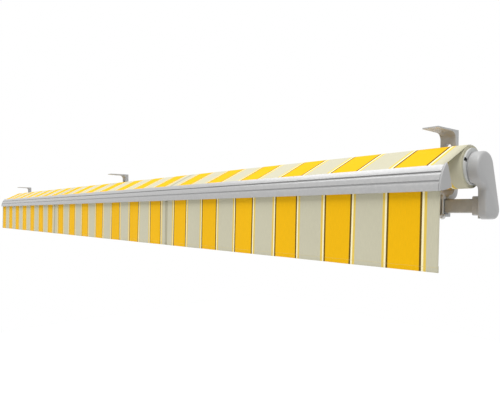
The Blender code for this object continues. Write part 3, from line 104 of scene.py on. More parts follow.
# Limits of the meshes and of the camera
WELD = 1e-6              # distance within which doubled corners are merged
FLAT_EDGE = math.radians(0.5)   # faces that lie this close to one plane become one
SHARP_EDGE = math.radians(40)   # an edge that turns more than this is sharp, or rounded
ROLL_EDGE = math.radians(60)    # the same for the wound cloth
NEAREST_SEEN = 0.01      # what lies closer to the camera isn't shown


def length(name, description, default):
    return FloatProperty(name=name, description=description, default=default, unit="LENGTH", precision=5)


def angle(name, description, degrees):
    return FloatProperty(name=name, description=description, default=math.radians(degrees), subtype="ANGLE")


def plain(name, description, default):
    return FloatProperty(name=name, description=description, default=default)


def triple(name, description, default, subtype, **more):
    return FloatVectorProperty(name=name, description=description, default=default, subtype=subtype, **more)


def paint(name, description, *screen):
    """A screen colour of 0 to 255, kept as the linear colour that Blender stores."""
    def linear(value):
        share = value / 255
        return share / 12.92 if share <= 0.04045 else ((share + 0.055) / 1.055) ** 2.4
    return triple(name, description, [linear(value) for value in screen], "COLOR", min=0, max=1)


class AwningClothSettings(bpy.types.PropertyGroup):
    """Sizes and colours of the striped cloth."""
    stripe_pitch: length("Stripe pitch", "From one yellow stripe to the next", 0.1708)
    first_stripe: length("First stripe", "Middle of the first stripe, in from the right edge", 0.0764)
    stripe_width: length("Stripe width", "Width of a yellow stripe", 0.071)
    dark_line: length("Dark line", "Width of the dark line beside a yellow stripe", 0.0046)
    cream_line: length("Cream line", "Width of the cream line beside the dark one", 0.0046)
    golden_line: length("Golden line", "Width of the golden line beside the cream one", 0.0058)
    panel_width: length("Panel width", "From one seam to the next", 1.2)
    first_seam: length("First seam", "Middle of the first seam, in from the right edge", 1.022)
    seam_width: length("Seam width", "Overlap of two cloth panels", 0.015)
    thickness: length("Cloth thickness", "Thickness of the woven cloth", 0.0005)
    thread_pitch: length("Thread pitch", "From one thread of the weave to the next", 0.0008)
    hem_height: length("Hem height", "Height of the valance's folded hem", 0.012)
    hem_fold: length("Hem fold", "Radius of the fold at the valance's lower edge", 0.0007)
    valance_lean: length("Valance lean", "How far its lower edge hangs towards the garden", 0.0045)
    wave_height: length("Wave height", "How far the valance's lower edge swings out of plane", 0.0016)
    wave_length: length("Wave length", "Distance between the valance's shallow waves", 0.34)
    stitch_pitch: length("Stitch pitch", "From one stitch to the next", 0.0045)
    stitch_length: length("Stitch length", "Length of one stitch", 0.0032)
    stitch_width: length("Stitch width", "Thickness of the sewing thread", 0.0006)
    layer_pitch: length("Layer pitch", "Thickness of one wound layer on the roller", 0.00061)
    yellow: paint("Yellow", "The broad stripes", 243, 186, 4)
    dark: paint("Dark brown", "The lines beside the broad stripes", 108, 82, 20)
    cream: paint("Cream", "The lines beside the dark ones", 255, 244, 200)
    golden: paint("Golden", "The lines beside the cream ones", 231, 199, 92)
    ground: paint("Ground", "The gray between the stripes", 201, 197, 173)
    # Painted shade: the seams are darkened where the doubled cloth would let less light through
    seam_shade: paint("Doubled cloth", "Shade of the seams, which let less light through", 96, 92, 76)
    thread: paint("Thread", "The sewing thread", 212, 190, 112)


class AwningMetalSettings(bpy.types.PropertyGroup):
    """Colours and edges of the castings, profiles, covers and fasteners."""
    casting: paint("Castings", "Coated cast aluminium", 172, 172, 172)
    profile: paint("Profiles", "Silver-gray coating of the extruded profiles", 174, 174, 174)
    bracket: paint("Brackets", "Coating of the ceiling brackets and clamps", 178, 180, 182)
    bar: paint("Torsion bar", "Coating of the square bar", 168, 168, 165)
    cover: paint("Covers", "Moulded plastic of the covers and caps", 168, 168, 168)
    plug: paint("Roller plugs", "Moulded plastic of the roller's ends", 200, 201, 200)
    stop: paint("Stops", "Black rubber in the roller plugs' notches", 22, 22, 22)
    steel: paint("Steel", "Pins, bolts and the worm", 186, 186, 184)
    brass: paint("Brass", "Worm wheel", 196, 160, 92)
    bare: paint("Worn edge", "Metal that shows where the coating is rubbed thin", 206, 205, 202)
    dust: paint("Dust", "Dust on faces that look up", 190, 184, 172)
    edge: length("Softened edge", "Round on the edges of castings and profiles", 0.0004)
    moulded_edge: length("Moulded edge", "Round on the edges of plastic covers and caps", 0.0008)
    bolt_head: length("Bolt head", "Radius of a round bolt head", 0.006)
    bolt_rise: length("Bolt head height", "Height of a round bolt head", 0.0055)
    bolt_socket: length("Bolt socket", "Width across the corners of a bolt's socket", 0.0052)
    bolt_shank: length("Bolt shank", "Radius of a bolt's shank", 0.003)
    plate_bolt_pitch: length("Back plate bolts", "Distance between a back plate's bolts", 0.056)
    plate_bolt_inset: length("Back plate bolt inset", "From the plate's edge to a bolt", 0.0063)
    hand_bolt_pitch: length("Hand bracket bolts", "Distance between a hand bracket's two bolts", 0.040)
    hand_bolt_drop: length("Hand bolt drop", "From the hand bracket's top down to its bolts", 0.01005)
    hand_bolt_back: length("Hand bolt place", "From the bracket's front back to its bolts' seat", 0.01721)
    hand_lean: angle("Hand bracket lean", "Lean of the front bar's back from upright", 20.9)
    cross_pin: length("Crank cross pin", "Radius of the pin through the crank's eye", 0.0016)
    notch_width: length("Stop width", "Width of the stop in a roller plug's notch", 0.0071)
    notch_depth: length("Stop depth", "Depth of the stop, in from the plug's rim", 0.0087)
    notch_angle: angle("Stop angle", "Turn of the stop round the roller from the wall side", 159)


class AwningStageSettings(bpy.types.PropertyGroup):
    """The camera, the lamps and the floor."""
    camera_place: triple("Camera place", "Where the camera stands", (2.2009, -1.0039, -0.1809),
                         "TRANSLATION", unit="LENGTH")
    camera_yaw: angle("Camera yaw", "Turn of the view from straight along the awning", 39.66)
    camera_pitch: angle("Camera pitch", "Rise of the view above level", -2.13)
    lens: plain("Lens", "Focal length in millimetres", 34.74)
    sensor: plain("Sensor", "Width of the camera's sensor in millimetres", 36.0)
    shift: plain("Vertical shift", "Rise of the lens, as a share of the picture's width", 0.0596)
    floor_drop: length("Floor", "How far the floor lies below the ceiling", 2.3)
    floor_size: length("Floor size", "Side of the square floor", 14.0)
    floor_tone: paint("Floor colour", "The pale floor", 240, 240, 240)
    lamp_strength: plain("Lamp strength", "Light of the soft lamp above the garden side", 2.7)
    lamp_softness: angle("Lamp softness", "Angle that the lamp fills in the sky", 35)
    lamp_direction: triple("Lamp direction", "Way from the awning to the lamp", (0.18, -0.34, 0.92),
                           "DIRECTION")
    rim_strength: plain("Rim lamp strength", "Light of the weak lamp that glints on the front bar", 0.8)
    rim_softness: angle("Rim lamp softness", "Angle that the weak lamp fills in the sky", 40)
    rim_direction: triple("Rim lamp direction", "Way from the awning to the weak lamp", (-0.55, 0.10, 0.83),
                          "DIRECTION")
    sky_strength: plain("Sky strength", "Even light from all round", 0.45)
    floor_light: plain("Floor light", "Share of its light that the floor gives back to the awning", 0.8)


def settings(group):
    return getattr(bpy.context.scene, "awning_" + group)


# Node helpers

def put(tree, kind, inputs=None, **options):
    """A node whose inputs are given as values, or as the sockets that feed them."""
    node = tree.nodes.new(kind)
    for name, value in options.items():
        setattr(node, name, value)
    for key, value in (inputs or {}).items():
        if isinstance(value, bpy.types.NodeSocket):
            tree.links.new(value, node.inputs[key])
        else:
            node.inputs[key].default_value = value
    return node


def made(tree, kind, inputs=None, **options):
    """The first output of a new node."""
    return put(tree, kind, inputs, **options).outputs[0]


def calc(tree, operation, *values):
    return made(tree, "ShaderNodeMath", dict(enumerate(values)), operation=operation)


def vector(tree, x=0.0, y=0.0, z=0.0):
    return made(tree, "ShaderNodeCombineXYZ", {0: x, 1: y, 2: z})


def noise(tree, place, scale, detail, **more):
    return made(tree, "ShaderNodeTexNoise", {"Vector": place, "Scale": scale, "Detail": detail, **more})


def stretched(tree, place, scale):
    return made(tree, "ShaderNodeMapping", {"Vector": place, "Scale": scale})


def blend_colours(tree, share, first, second, mode="MIX"):
    node = put(tree, "ShaderNodeMix", {0: share, 6: first, 7: second}, data_type="RGBA", blend_type=mode)
    return node.outputs[2]


def toned(tree, shade, tone):
    """The colour, made lighter or darker by a tone."""
    gray = made(tree, "ShaderNodeCombineColor", {0: tone, 1: tone, 2: tone})
    return blend_colours(tree, 1.0, shade, gray, "MULTIPLY")


def spread(tree, value, low, high, out_low=0.0, out_high=1.0):
    """The value, moved from one range to another and held within it."""
    return made(tree, "ShaderNodeMapRange", {"Value": value, "From Min": low, "From Max": high,
                                             "To Min": out_low, "To Max": out_high})


def from_nearest(tree, along, first, pitch):
    """Distance to the nearest of the places that follow the first one at a pitch."""
    repeats = calc(tree, "DIVIDE", calc(tree, "SUBTRACT", along, first), pitch)
    return calc(tree, "MULTIPLY", calc(tree, "ABSOLUTE", calc(tree, "WRAP", repeats, 0.5, -0.5)), pitch)


def node_group(name, kind, inputs, outputs):
    """A new group, its sockets listed by type. Returns it with what it is given and what it puts out."""
    tree = bpy.data.node_groups.new(name, kind)
    for direction, sockets in (("INPUT", inputs), ("OUTPUT", outputs)):
        for what, names in sockets.items():
            for socket in names.split(", "):
                tree.interface.new_socket(socket, in_out=direction, socket_type="NodeSocket" + what)
    return tree, tree.nodes.new("NodeGroupInput").outputs, tree.nodes.new("NodeGroupOutput").inputs


def placed_group(tree, group, inputs):
    return put(tree, "ShaderNodeGroup", inputs, node_tree=group).outputs


# Effects that materials share

@cache
def stripe_group():
    """Woven stripes: yellow, with a dark, a cream and a golden line on both sides, on gray."""
    tree, given, out = node_group("Awning stripes", "ShaderNodeTree", {
        "Float": "Along, Pitch, First, Stripe, Dark line, Cream line, Golden line",
        "Color": "Yellow, Dark, Cream, Golden, Ground",
    }, {"Color": "Color"})
    away = from_nearest(tree, given["Along"], given["First"], given["Pitch"])
    edge = calc(tree, "DIVIDE", given["Stripe"], 2.0)
    shade = given["Yellow"]
    for line, after in (("Dark line", "Dark"), ("Cream line", "Cream"), ("Golden line", "Golden"),
                        (None, "Ground")):
        past = spread(tree, calc(tree, "SUBTRACT", away, edge), -SOFT_EDGE, SOFT_EDGE)
        shade = blend_colours(tree, past, shade, given[after])
        if line:
            edge = calc(tree, "ADD", edge, given[line])
    tree.links.new(shade, out["Color"])
    return tree


@cache
def seam_group():
    """Masks of the sewn seams between panels: the overlap, and the two rows of thread on it."""
    tree, given, out = node_group("Sewn seams", "ShaderNodeTree", {
        "Float": "Along, Drop, First, Panel, Width, Stitch pitch, Thread",
    }, {"Float": "Overlap, Thread"})
    away = from_nearest(tree, given["Along"], given["First"], given["Panel"])
    half = calc(tree, "DIVIDE", given["Width"], 2.0)
    overlap = spread(tree, calc(tree, "SUBTRACT", half, away), -SOFT_EDGE, SOFT_EDGE)
    row = calc(tree, "ABSOLUTE", calc(tree, "SUBTRACT", away, calc(tree, "MULTIPLY", half, STITCH_ROW)))
    line = calc(tree, "LESS_THAN", row, calc(tree, "DIVIDE", given["Thread"], 2.0))
    along = calc(tree, "FRACT", calc(tree, "DIVIDE", given["Drop"], given["Stitch pitch"]))
    tree.links.new(overlap, out["Overlap"])
    dash = calc(tree, "LESS_THAN", along, STITCH_FILL)
    tree.links.new(calc(tree, "MULTIPLY", line, dash), out["Thread"])
    return tree


@cache
def weave_group():
    """Plain weave: threads that pass over and under each other, a little uneven. Its Shade output is
    painted shade, darker where the weave lies low, with random mottling.
    """
    tree, given, out = node_group("Woven cloth", "ShaderNodeTree", {"Float": "Along, Drop, Thread pitch"},
                                  {"Float": "Height, Shade"})
    turns = calc(tree, "DIVIDE", math.pi, given["Thread pitch"])
    waves = [calc(tree, "SINE", calc(tree, "MULTIPLY", given[way], turns)) for way in ("Along", "Drop")]
    crossing = calc(tree, "MULTIPLY", *waves)
    place = vector(tree, given["Along"], given["Drop"])
    uneven = noise(tree, stretched(tree, place, (900, 60, 1)), 1.0, 2.0)
    height = calc(tree, "ADD", calc(tree, "MULTIPLY", crossing, 0.5), uneven)
    tree.links.new(height, out["Height"])
    mottled = spread(tree, uneven, 0.3, 0.7, 0.95, 1.03)
    # Painted shade: the tone drops where the crossing, and so the height, is low; the mottling is random
    # tone
    tree.links.new(calc(tree, "ADD", calc(tree, "MULTIPLY", crossing, 0.035), mottled), out["Shade"])
    return tree


@cache
def grain_group():
    """Fine grain of a coating, casting or moulding, and broad drifts of tone."""
    tree, given, out = node_group("Surface grain", "ShaderNodeTree", {
        "Vector": "Vector", "Float": "Grain, Depth, Drift"}, {"Float": "Height, Tone"})
    fine = noise(tree, given["Vector"], given["Grain"], 3.0, Roughness=0.6)
    broad = noise(tree, given["Vector"], 9.0, 3.0)
    tree.links.new(calc(tree, "MULTIPLY", fine, given["Depth"]), out["Height"])
    half = calc(tree, "MULTIPLY", given["Drift"], 0.5)
    drift = calc(tree, "MULTIPLY", calc(tree, "SUBTRACT", broad, 0.5), given["Drift"])
    speck = calc(tree, "MULTIPLY", calc(tree, "SUBTRACT", fine, 0.5), half)
    tree.links.new(calc(tree, "ADD", calc(tree, "ADD", drift, speck), 1.0), out["Tone"])
    return tree


def patch_group(name, measured, scale, detail, thin, full):
    """Mask of patches on a measured part of the surface. thin and full bound the noise that parts them."""
    tree, given, out = node_group(name, "ShaderNodeTree", {"Vector": "Vector", "Float": "Amount"},
                                  {"Float": "Mask"})
    patches = spread(tree, noise(tree, given["Vector"], scale, detail), thin, full)
    mask = calc(tree, "MULTIPLY", calc(tree, "MULTIPLY", measured(tree), patches), given["Amount"])
    tree.links.new(mask, out["Mask"])
    return tree


@cache
def wear_group():
    """Mask of the edges where a coating is rubbed thin."""
    def sharp_edges(tree):
        return spread(tree, put(tree, "ShaderNodeNewGeometry").outputs["Pointiness"], 0.52, 0.60)
    return patch_group("Edge wear", sharp_edges, 140.0, 4.0, 0.42, 0.62)


@cache
def dust_group():
    """Mask of the dust that settles on faces that look up."""
    def faces_up(tree):
        normal = put(tree, "ShaderNodeNewGeometry").outputs["Normal"]
        return spread(tree, put(tree, "ShaderNodeSeparateXYZ", {0: normal}).outputs["Z"], 0.6, 1.0)
    return patch_group("Settled dust", faces_up, 35.0, 5.0, 0.35, 0.75)


# Materials

def new_material(name, constants):
    """A material with its Principled shader's own constants set. Returns it with its tree and shader."""
    material = bpy.data.materials.new(name)
    material.use_nodes = True
    shader = material.node_tree.nodes["Principled BSDF"]
    for socket, value in constants.items():
        shader.inputs[socket].default_value = value
    return material, material.node_tree, shader


def bumped(tree, shader, height, depth, strength):
    bump = made(tree, "ShaderNodeBump", {"Height": height, "Distance": depth, "Strength": strength})
    tree.links.new(bump, shader.inputs["Normal"])


def coated(name, tone, constants, grain, depth, drift, wear=0.0, dust=0.0, brushed=None):
    """Paint, casting, plastic or bare metal: grain, drifts of tone, worn edges and settled dust."""
    metal = settings("metal")
    material, tree, shader = new_material(name, constants)
    place = put(tree, "ShaderNodeTexCoord").outputs["Object"]
    surface = placed_group(tree, grain_group(), {
        "Vector": stretched(tree, place, brushed) if brushed else place,
        "Grain": grain, "Depth": depth, "Drift": drift,
    })
    shade = toned(tree, (*tone, 1), surface["Tone"])
    for group, amount, shown in ((wear_group, wear, metal.bare), (dust_group, dust, metal.dust)):
        if amount:
            mask = placed_group(tree, group(), {"Vector": place, "Amount": amount})["Mask"]
            shade = blend_colours(tree, mask, shade, (*shown, 1))
    tree.links.new(shade, shader.inputs["Base Color"])
    rough = constants["Roughness"]
    tree.links.new(spread(tree, surface["Tone"], 0.97, 1.03, rough - 0.05, rough + 0.05),
                   shader.inputs["Roughness"])
    bumped(tree, shader, surface["Height"], depth=0.00005, strength=0.6)
    return material


COATINGS = {
    "cast_aluminium": ("Coated casting", "metal", "casting", {"Metallic": 0.25, "Roughness": 0.46},
                       dict(grain=700, depth=1.0, drift=0.04, wear=0.7, dust=0.08)),
    "extruded_aluminium": ("Coated profile", "metal", "profile", {"Metallic": 0.5, "Roughness": 0.33},
                           dict(grain=420, depth=0.5, drift=0.04, wear=0.35, dust=0.10,
                                brushed=(0.02, 1, 1))),
    "bracket_paint": ("Coated bracket", "metal", "bracket", {"Metallic": 0.15, "Roughness": 0.48},
                      dict(grain=650, depth=0.8, drift=0.04, wear=0.5, dust=0.06)),
    "bar_paint": ("Coated torsion bar", "metal", "bar", {"Metallic": 0.15, "Roughness": 0.5},
                  dict(grain=500, depth=0.7, drift=0.03, wear=0.5, dust=0.06)),
    "cover_plastic": ("Moulded cover", "metal", "cover", {"Roughness": 0.42, "Specular IOR Level": 0.45},
                      dict(grain=900, depth=0.9, drift=0.03, dust=0.10)),
    "plug_plastic": ("Moulded plug", "metal", "plug", {"Roughness": 0.5},
                     dict(grain=800, depth=0.8, drift=0.03)),
    "stop_rubber": ("Black rubber stop", "metal", "stop", {"Roughness": 0.8, "Specular IOR Level": 0.2},
                    dict(grain=900, depth=0.8, drift=0.04)),
    "steel": ("Zinc-plated steel", "metal", "steel", {"Metallic": 0.9, "Roughness": 0.34},
              dict(grain=480, depth=0.6, drift=0.10)),
    "brass": ("Brass", "metal", "brass", {"Metallic": 0.95, "Roughness": 0.35},
              dict(grain=480, depth=0.6, drift=0.12)),
    "thread": ("Sewing thread", "cloth", "thread", {"Roughness": 0.7, "Sheen Weight": 0.2},
               dict(grain=2500, depth=1.0, drift=0.10)),
}


@cache
def look(coating):
    """The material of a coating, made once. Most coatings are named after their slot."""
    name, group, tone, constants, surface = COATINGS[coating]
    return coated(name, getattr(settings(group), tone), constants, **surface)


@cache
def cloth_look():
    """Striped acrylic cloth. It reads the piece's UV map, in metres along and down the cloth."""
    cloth = settings("cloth")
    material, tree, shader = new_material("Striped awning cloth", {
        "Roughness": 0.9, "Sheen Weight": 0.04, "Sheen Roughness": 0.6, "Specular IOR Level": 0.08})
    place = made(tree, "ShaderNodeUVMap", uv_map="Cloth")
    parts = put(tree, "ShaderNodeSeparateXYZ", {0: place}).outputs
    across = {"Along": parts["X"], "Drop": parts["Y"]}
    colours = {name.capitalize(): (*getattr(cloth, name), 1)
               for name in ("yellow", "dark", "cream", "golden", "ground")}
    stripes = placed_group(tree, stripe_group(), {
        "Along": parts["X"], "Pitch": cloth.stripe_pitch, "First": cloth.first_stripe,
        "Stripe": cloth.stripe_width, "Dark line": cloth.dark_line, "Cream line": cloth.cream_line,
        "Golden line": cloth.golden_line, **colours,
    })["Color"]
    seams = placed_group(tree, seam_group(), {
        **across, "First": cloth.first_seam, "Panel": cloth.panel_width, "Width": cloth.seam_width,
        "Stitch pitch": cloth.stitch_pitch, "Thread": cloth.stitch_width,
    })
    weave = placed_group(tree, weave_group(), {**across, "Thread pitch": cloth.thread_pitch})
    shade = stripes
    # Each seam's overlap is painted darker, a painted shade for the doubled cloth, and its rows of thread
    # take the thread's colour
    for mask, share, shown in (("Overlap", 0.34, cloth.seam_shade), ("Thread", 0.4, cloth.thread)):
        shade = blend_colours(tree, calc(tree, "MULTIPLY", seams[mask], share), shade, (*shown, 1))
    stains = spread(tree, noise(tree, place, 3.0, 4.0), 0.3, 0.7, 0.97, 1.02)
    # The weave's painted shade, with its random mottling, and the stains tone the colour
    shade = toned(tree, shade, calc(tree, "MULTIPLY", weave["Shade"], stains))
    tree.links.new(shade, shader.inputs["Base Color"])
    relief = calc(tree, "ADD", weave["Height"], calc(tree, "MULTIPLY", seams["Overlap"], 2.0))
    bumped(tree, shader, relief, depth=0.0001, strength=0.5)
    return material


# Mesh helpers

def plain_mesh(mesh):
    """The mesh data of a bmesh, which ends here."""
    data = bpy.data.meshes.new("plain")
    mesh.to_mesh(data)
    mesh.free()
    return data


def linked(name, data):
    """A new object of the scene."""
    item = bpy.data.objects.new(name, data)
    bpy.context.collection.objects.link(item)
    return item


def piece_from(name, data, material, body, sharp=SHARP_EDGE):
    """A finished object at the origin, riding on a body."""
    data.name = name
    data.materials.clear()
    data.materials.append(material)
    data.shade_smooth()
    data.set_sharp_from_angle(angle=sharp)
    piece = linked(name, data)
    if body:
        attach(piece, body)
    return piece


def finish(body, slot, edge, *nodes, segments=2):
    """Merged copies of CAD nodes in their look, with rounded edges, which stand for the nodes."""
    for node in nodes:
        mesh = bmesh.new()
        mesh.from_mesh(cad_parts[node].data)
        bmesh.ops.remove_doubles(mesh, verts=mesh.verts, dist=WELD)
        bmesh.ops.dissolve_limit(mesh, angle_limit=FLAT_EDGE, use_dissolve_boundaries=False,
                                 verts=mesh.verts, edges=mesh.edges)
        for face in mesh.faces:
            face.material_index = 0
        piece = piece_from(node + "_finish", plain_mesh(mesh), look(slot), body)
        if edge:
            rounding = piece.modifiers.new("Rounded edges", "BEVEL")
            rounding.width = edge
            rounding.segments = segments
            rounding.limit_method = "ANGLE"
            rounding.angle_limit = SHARP_EDGE
            rounding.use_clamp_overlap = False
            rounding.harden_normals = True
            rounding.miter_outer = "MITER_ARC"
        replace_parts(piece, node)


def sheet_mesh(rows, columns, place):
    """A sheet as a grid. place(u, v) gives a point, with u along the awning and v down the cloth, in
    metres, and both are kept in the piece's UV map."""
    mesh = bmesh.new()
    layer = mesh.loops.layers.uv.new("Cloth")
    grid = [[mesh.verts.new(place(u, v)) for u in columns] for v in rows]
    for i in range(len(rows) - 1):
        for j in range(len(columns) - 1):
            corners = ((i, j), (i + 1, j), (i + 1, j + 1), (i, j + 1))
            face = mesh.faces.new([grid[row][column] for row, column in corners])
            for loop, (row, column) in zip(face.loops, corners):
                loop[layer].uv = (columns[column], rows[row])
    return mesh


def cloth_piece(name, mesh, body, share=1.0, sharp=SHARP_EDGE):
    """A sheet of cloth from a bmesh. Its thickness, or a share of it, lies half on each side."""
    piece = piece_from(name, plain_mesh(mesh), cloth_look(), body, sharp)
    wall = piece.modifiers.new("Cloth thickness", "SOLIDIFY")
    wall.thickness = settings("cloth").thickness * share
    wall.offset = 0
    wall.use_even_offset = True
    return piece


def steps(start, end, count):
    return [start + (end - start) * i / count for i in range(count + 1)]


def run_tree(name, base, tree, values):
    """The plain mesh that a geometry tree makes from a base mesh, with the tree's inputs set by name."""
    maker = linked(name + "_maker", base)
    step = maker.modifiers.new(name, "NODES")
    step.node_group = tree
    sockets = {item.name: item.identifier for item in tree.interface.items_tree
               if item.item_type == "SOCKET" and item.in_out == "INPUT"}
    for key, value in values.items():
        step[sockets[key]] = value
    seen = maker.evaluated_get(bpy.context.evaluated_depsgraph_get())
    data = bpy.data.meshes.new_from_object(seen)
    bpy.data.objects.remove(maker, do_unlink=True)
    return data


def moved(tree, geometry, **way):
    """The geometry after a Translation, Rotation or Scale."""
    return made(tree, "GeometryNodeTransform", {"Geometry": geometry, **way})


def end_tree(tree, geometry, material, out):
    """Real meshes in their material, as a geometry tree's result."""
    real = made(tree, "GeometryNodeRealizeInstances", {0: geometry})
    dressed = made(tree, "GeometryNodeSetMaterial", {"Geometry": real, "Material": material})
    tree.links.new(dressed, out[0])
    return tree


# Places read from the frame

def right_edge():
    """X of the cloth's right edge. The cloth's UV map counts inwards from it."""
    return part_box("valance")[1].x


def cloth_columns(spacing):
    low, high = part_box("valance")
    width = high.x - low.x
    return steps(0, width, round(width / spacing))


def roll_place():
    """Middle of the roll and its outer radius."""
    low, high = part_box("fabric_roll")
    return (low + high) / 2, (high.z - low.z) / 2


def span_line():
    """The cloth span in (y, z): its lower end on the front bar, and where it meets the roll."""
    low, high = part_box("cloth_span")
    middle, radius = roll_place()
    slope = math.atan2(high.z - low.z, high.y - low.y)
    start = Vector((low.y + CAD_CLOTH * math.sin(slope), low.z))
    to_roll = Vector((middle.y, middle.z)) - start
    slope = math.atan2(to_roll.y, to_roll.x) + math.asin(radius / to_roll.length)
    along = Vector((math.cos(slope), math.sin(slope)))
    start += CAD_CLOTH / 2 * Vector((-along.y, along.x))
    end = start + math.sqrt(to_roll.length_squared - radius ** 2) * along
    return start, end, slope


# Cloth

def spiral_tree():
    """Wound cloth: a spiral in the plane across the awning, drawn out along it."""
    tree, given, out = node_group("Wound cloth", "GeometryNodeTree", {
        "Geometry": "Geometry", "Float": "Turns, Core radius, Outer radius, Width, Start angle",
        "Int": "Points per turn", "Material": "Material",
    }, {"Geometry": "Geometry"})
    spiral = made(tree, "GeometryNodeCurveSpiral", {
        "Resolution": given["Points per turn"], "Rotations": given["Turns"],
        "Start Radius": given["Core radius"], "End Radius": given["Outer radius"], "Height": 0.0,
    })
    turned = moved(tree, spiral, Rotation=vector(tree, z=given["Start angle"]))
    upright = moved(tree, turned, Rotation=(math.pi / 2, 0, math.pi / 2))
    edges = made(tree, "GeometryNodeCurveToMesh", {"Curve": upright})
    drawn = made(tree, "GeometryNodeExtrudeMesh", {"Mesh": edges, "Offset": vector(tree, given["Width"])},
                 mode="EDGES")
    return end_tree(tree, drawn, given["Material"], out)


class AWNING_OT_cloth_roll(bpy.types.Operator):
    """Wind the cloth on the roller, as one sheet whose layers show at the ends"""
    bl_idname = "awning.cloth_roll"
    bl_label = "Cloth roll"

    def execute(self, context):
        cloth = settings("cloth")
        middle, radius = roll_place()
        low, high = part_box("fabric_roll")
        tube_low, tube_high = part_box("roller_tube")
        outer = radius - cloth.thickness / 2
        core = (tube_high - tube_low).z / 2 + cloth.thickness
        turns = math.floor((outer - core) / cloth.layer_pitch)
        slope = span_line()[2]
        data = run_tree("cloth_roll", bpy.data.meshes.new("spiral_base"), spiral_tree(), {
            "Turns": float(turns), "Points per turn": TURN_POINTS, "Core radius": core,
            "Outer radius": outer, "Width": high.x - low.x, "Start angle": math.pi / 2 + slope,
            "Material": cloth_look(),
        })
        mesh = bmesh.new()
        mesh.from_mesh(data)
        bmesh.ops.translate(mesh, vec=(low.x, middle.y, middle.z), verts=mesh.verts)
        layer = mesh.loops.layers.uv.new("Cloth")
        growth = (outer - core) / (turns * math.tau)
        for face in mesh.faces:
            for loop in face.loops:
                point = loop.vert.co - middle
                reach = math.hypot(point.y, point.z)
                loop[layer].uv = (right_edge() - loop.vert.co.x, (reach ** 2 - core ** 2) / (2 * growth))
        roll = cloth_piece("cloth_roll", mesh, "roller", sharp=ROLL_EDGE)
        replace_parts(roll, "fabric_roll")
        return {"FINISHED"}


class AWNING_OT_cloth_span(bpy.types.Operator):
    """Stretch the cloth from the roll down to the front bar, and tuck its end into the bar's channel"""
    bl_idname = "awning.cloth_span"
    bl_label = "Cloth span"

    def execute(self, context):
        start, end, slope = span_line()
        middle = roll_place()[0]
        home = Vector((middle.y, middle.z))
        straight = (start - end).length
        reach = (end - home).length

        def place(u, v):
            """v runs from the lap on the roll down to the front bar."""
            fade = math.sin(math.pi * max(0.0, min(1.0, v / straight)))
            if v < 0:
                turn = math.pi / 2 + slope + v / reach
                at = home + reach * Vector((math.cos(turn), math.sin(turn)))
            else:
                at = end + (start - end) * (v / straight)
            return right_edge() - u, at.x, at.y + RIPPLE * math.sin(u * RIPPLE_TURN) * fade

        rows = steps(-ROLL_LAP * reach, 0, 6)[:-1] + steps(0, straight + SPAN_TUCK, 24)
        columns = cloth_columns(WIDE)
        span = cloth_piece("cloth_cover", sheet_mesh(rows, columns, place), None)
        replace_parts(span, "cloth_span")
        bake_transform(span)
        return {"FINISHED"}


def bead_path(centre, out, radius, reach):
    """Cloth sewn round a bead, in (y, z): round the bead and out to the channel's mouth."""
    side = Vector((-out.y, out.x))
    loop = [centre + radius * (math.cos(a) * out + math.sin(a) * side)
            for a in steps(BEAD_GAP, math.tau - BEAD_GAP, 16)]
    return [*loop, centre + reach * out]


def path_lengths(path):
    lengths = [0.0]
    for near, far in zip(path, path[1:]):
        lengths.append(lengths[-1] + (far - near).length)
    return lengths


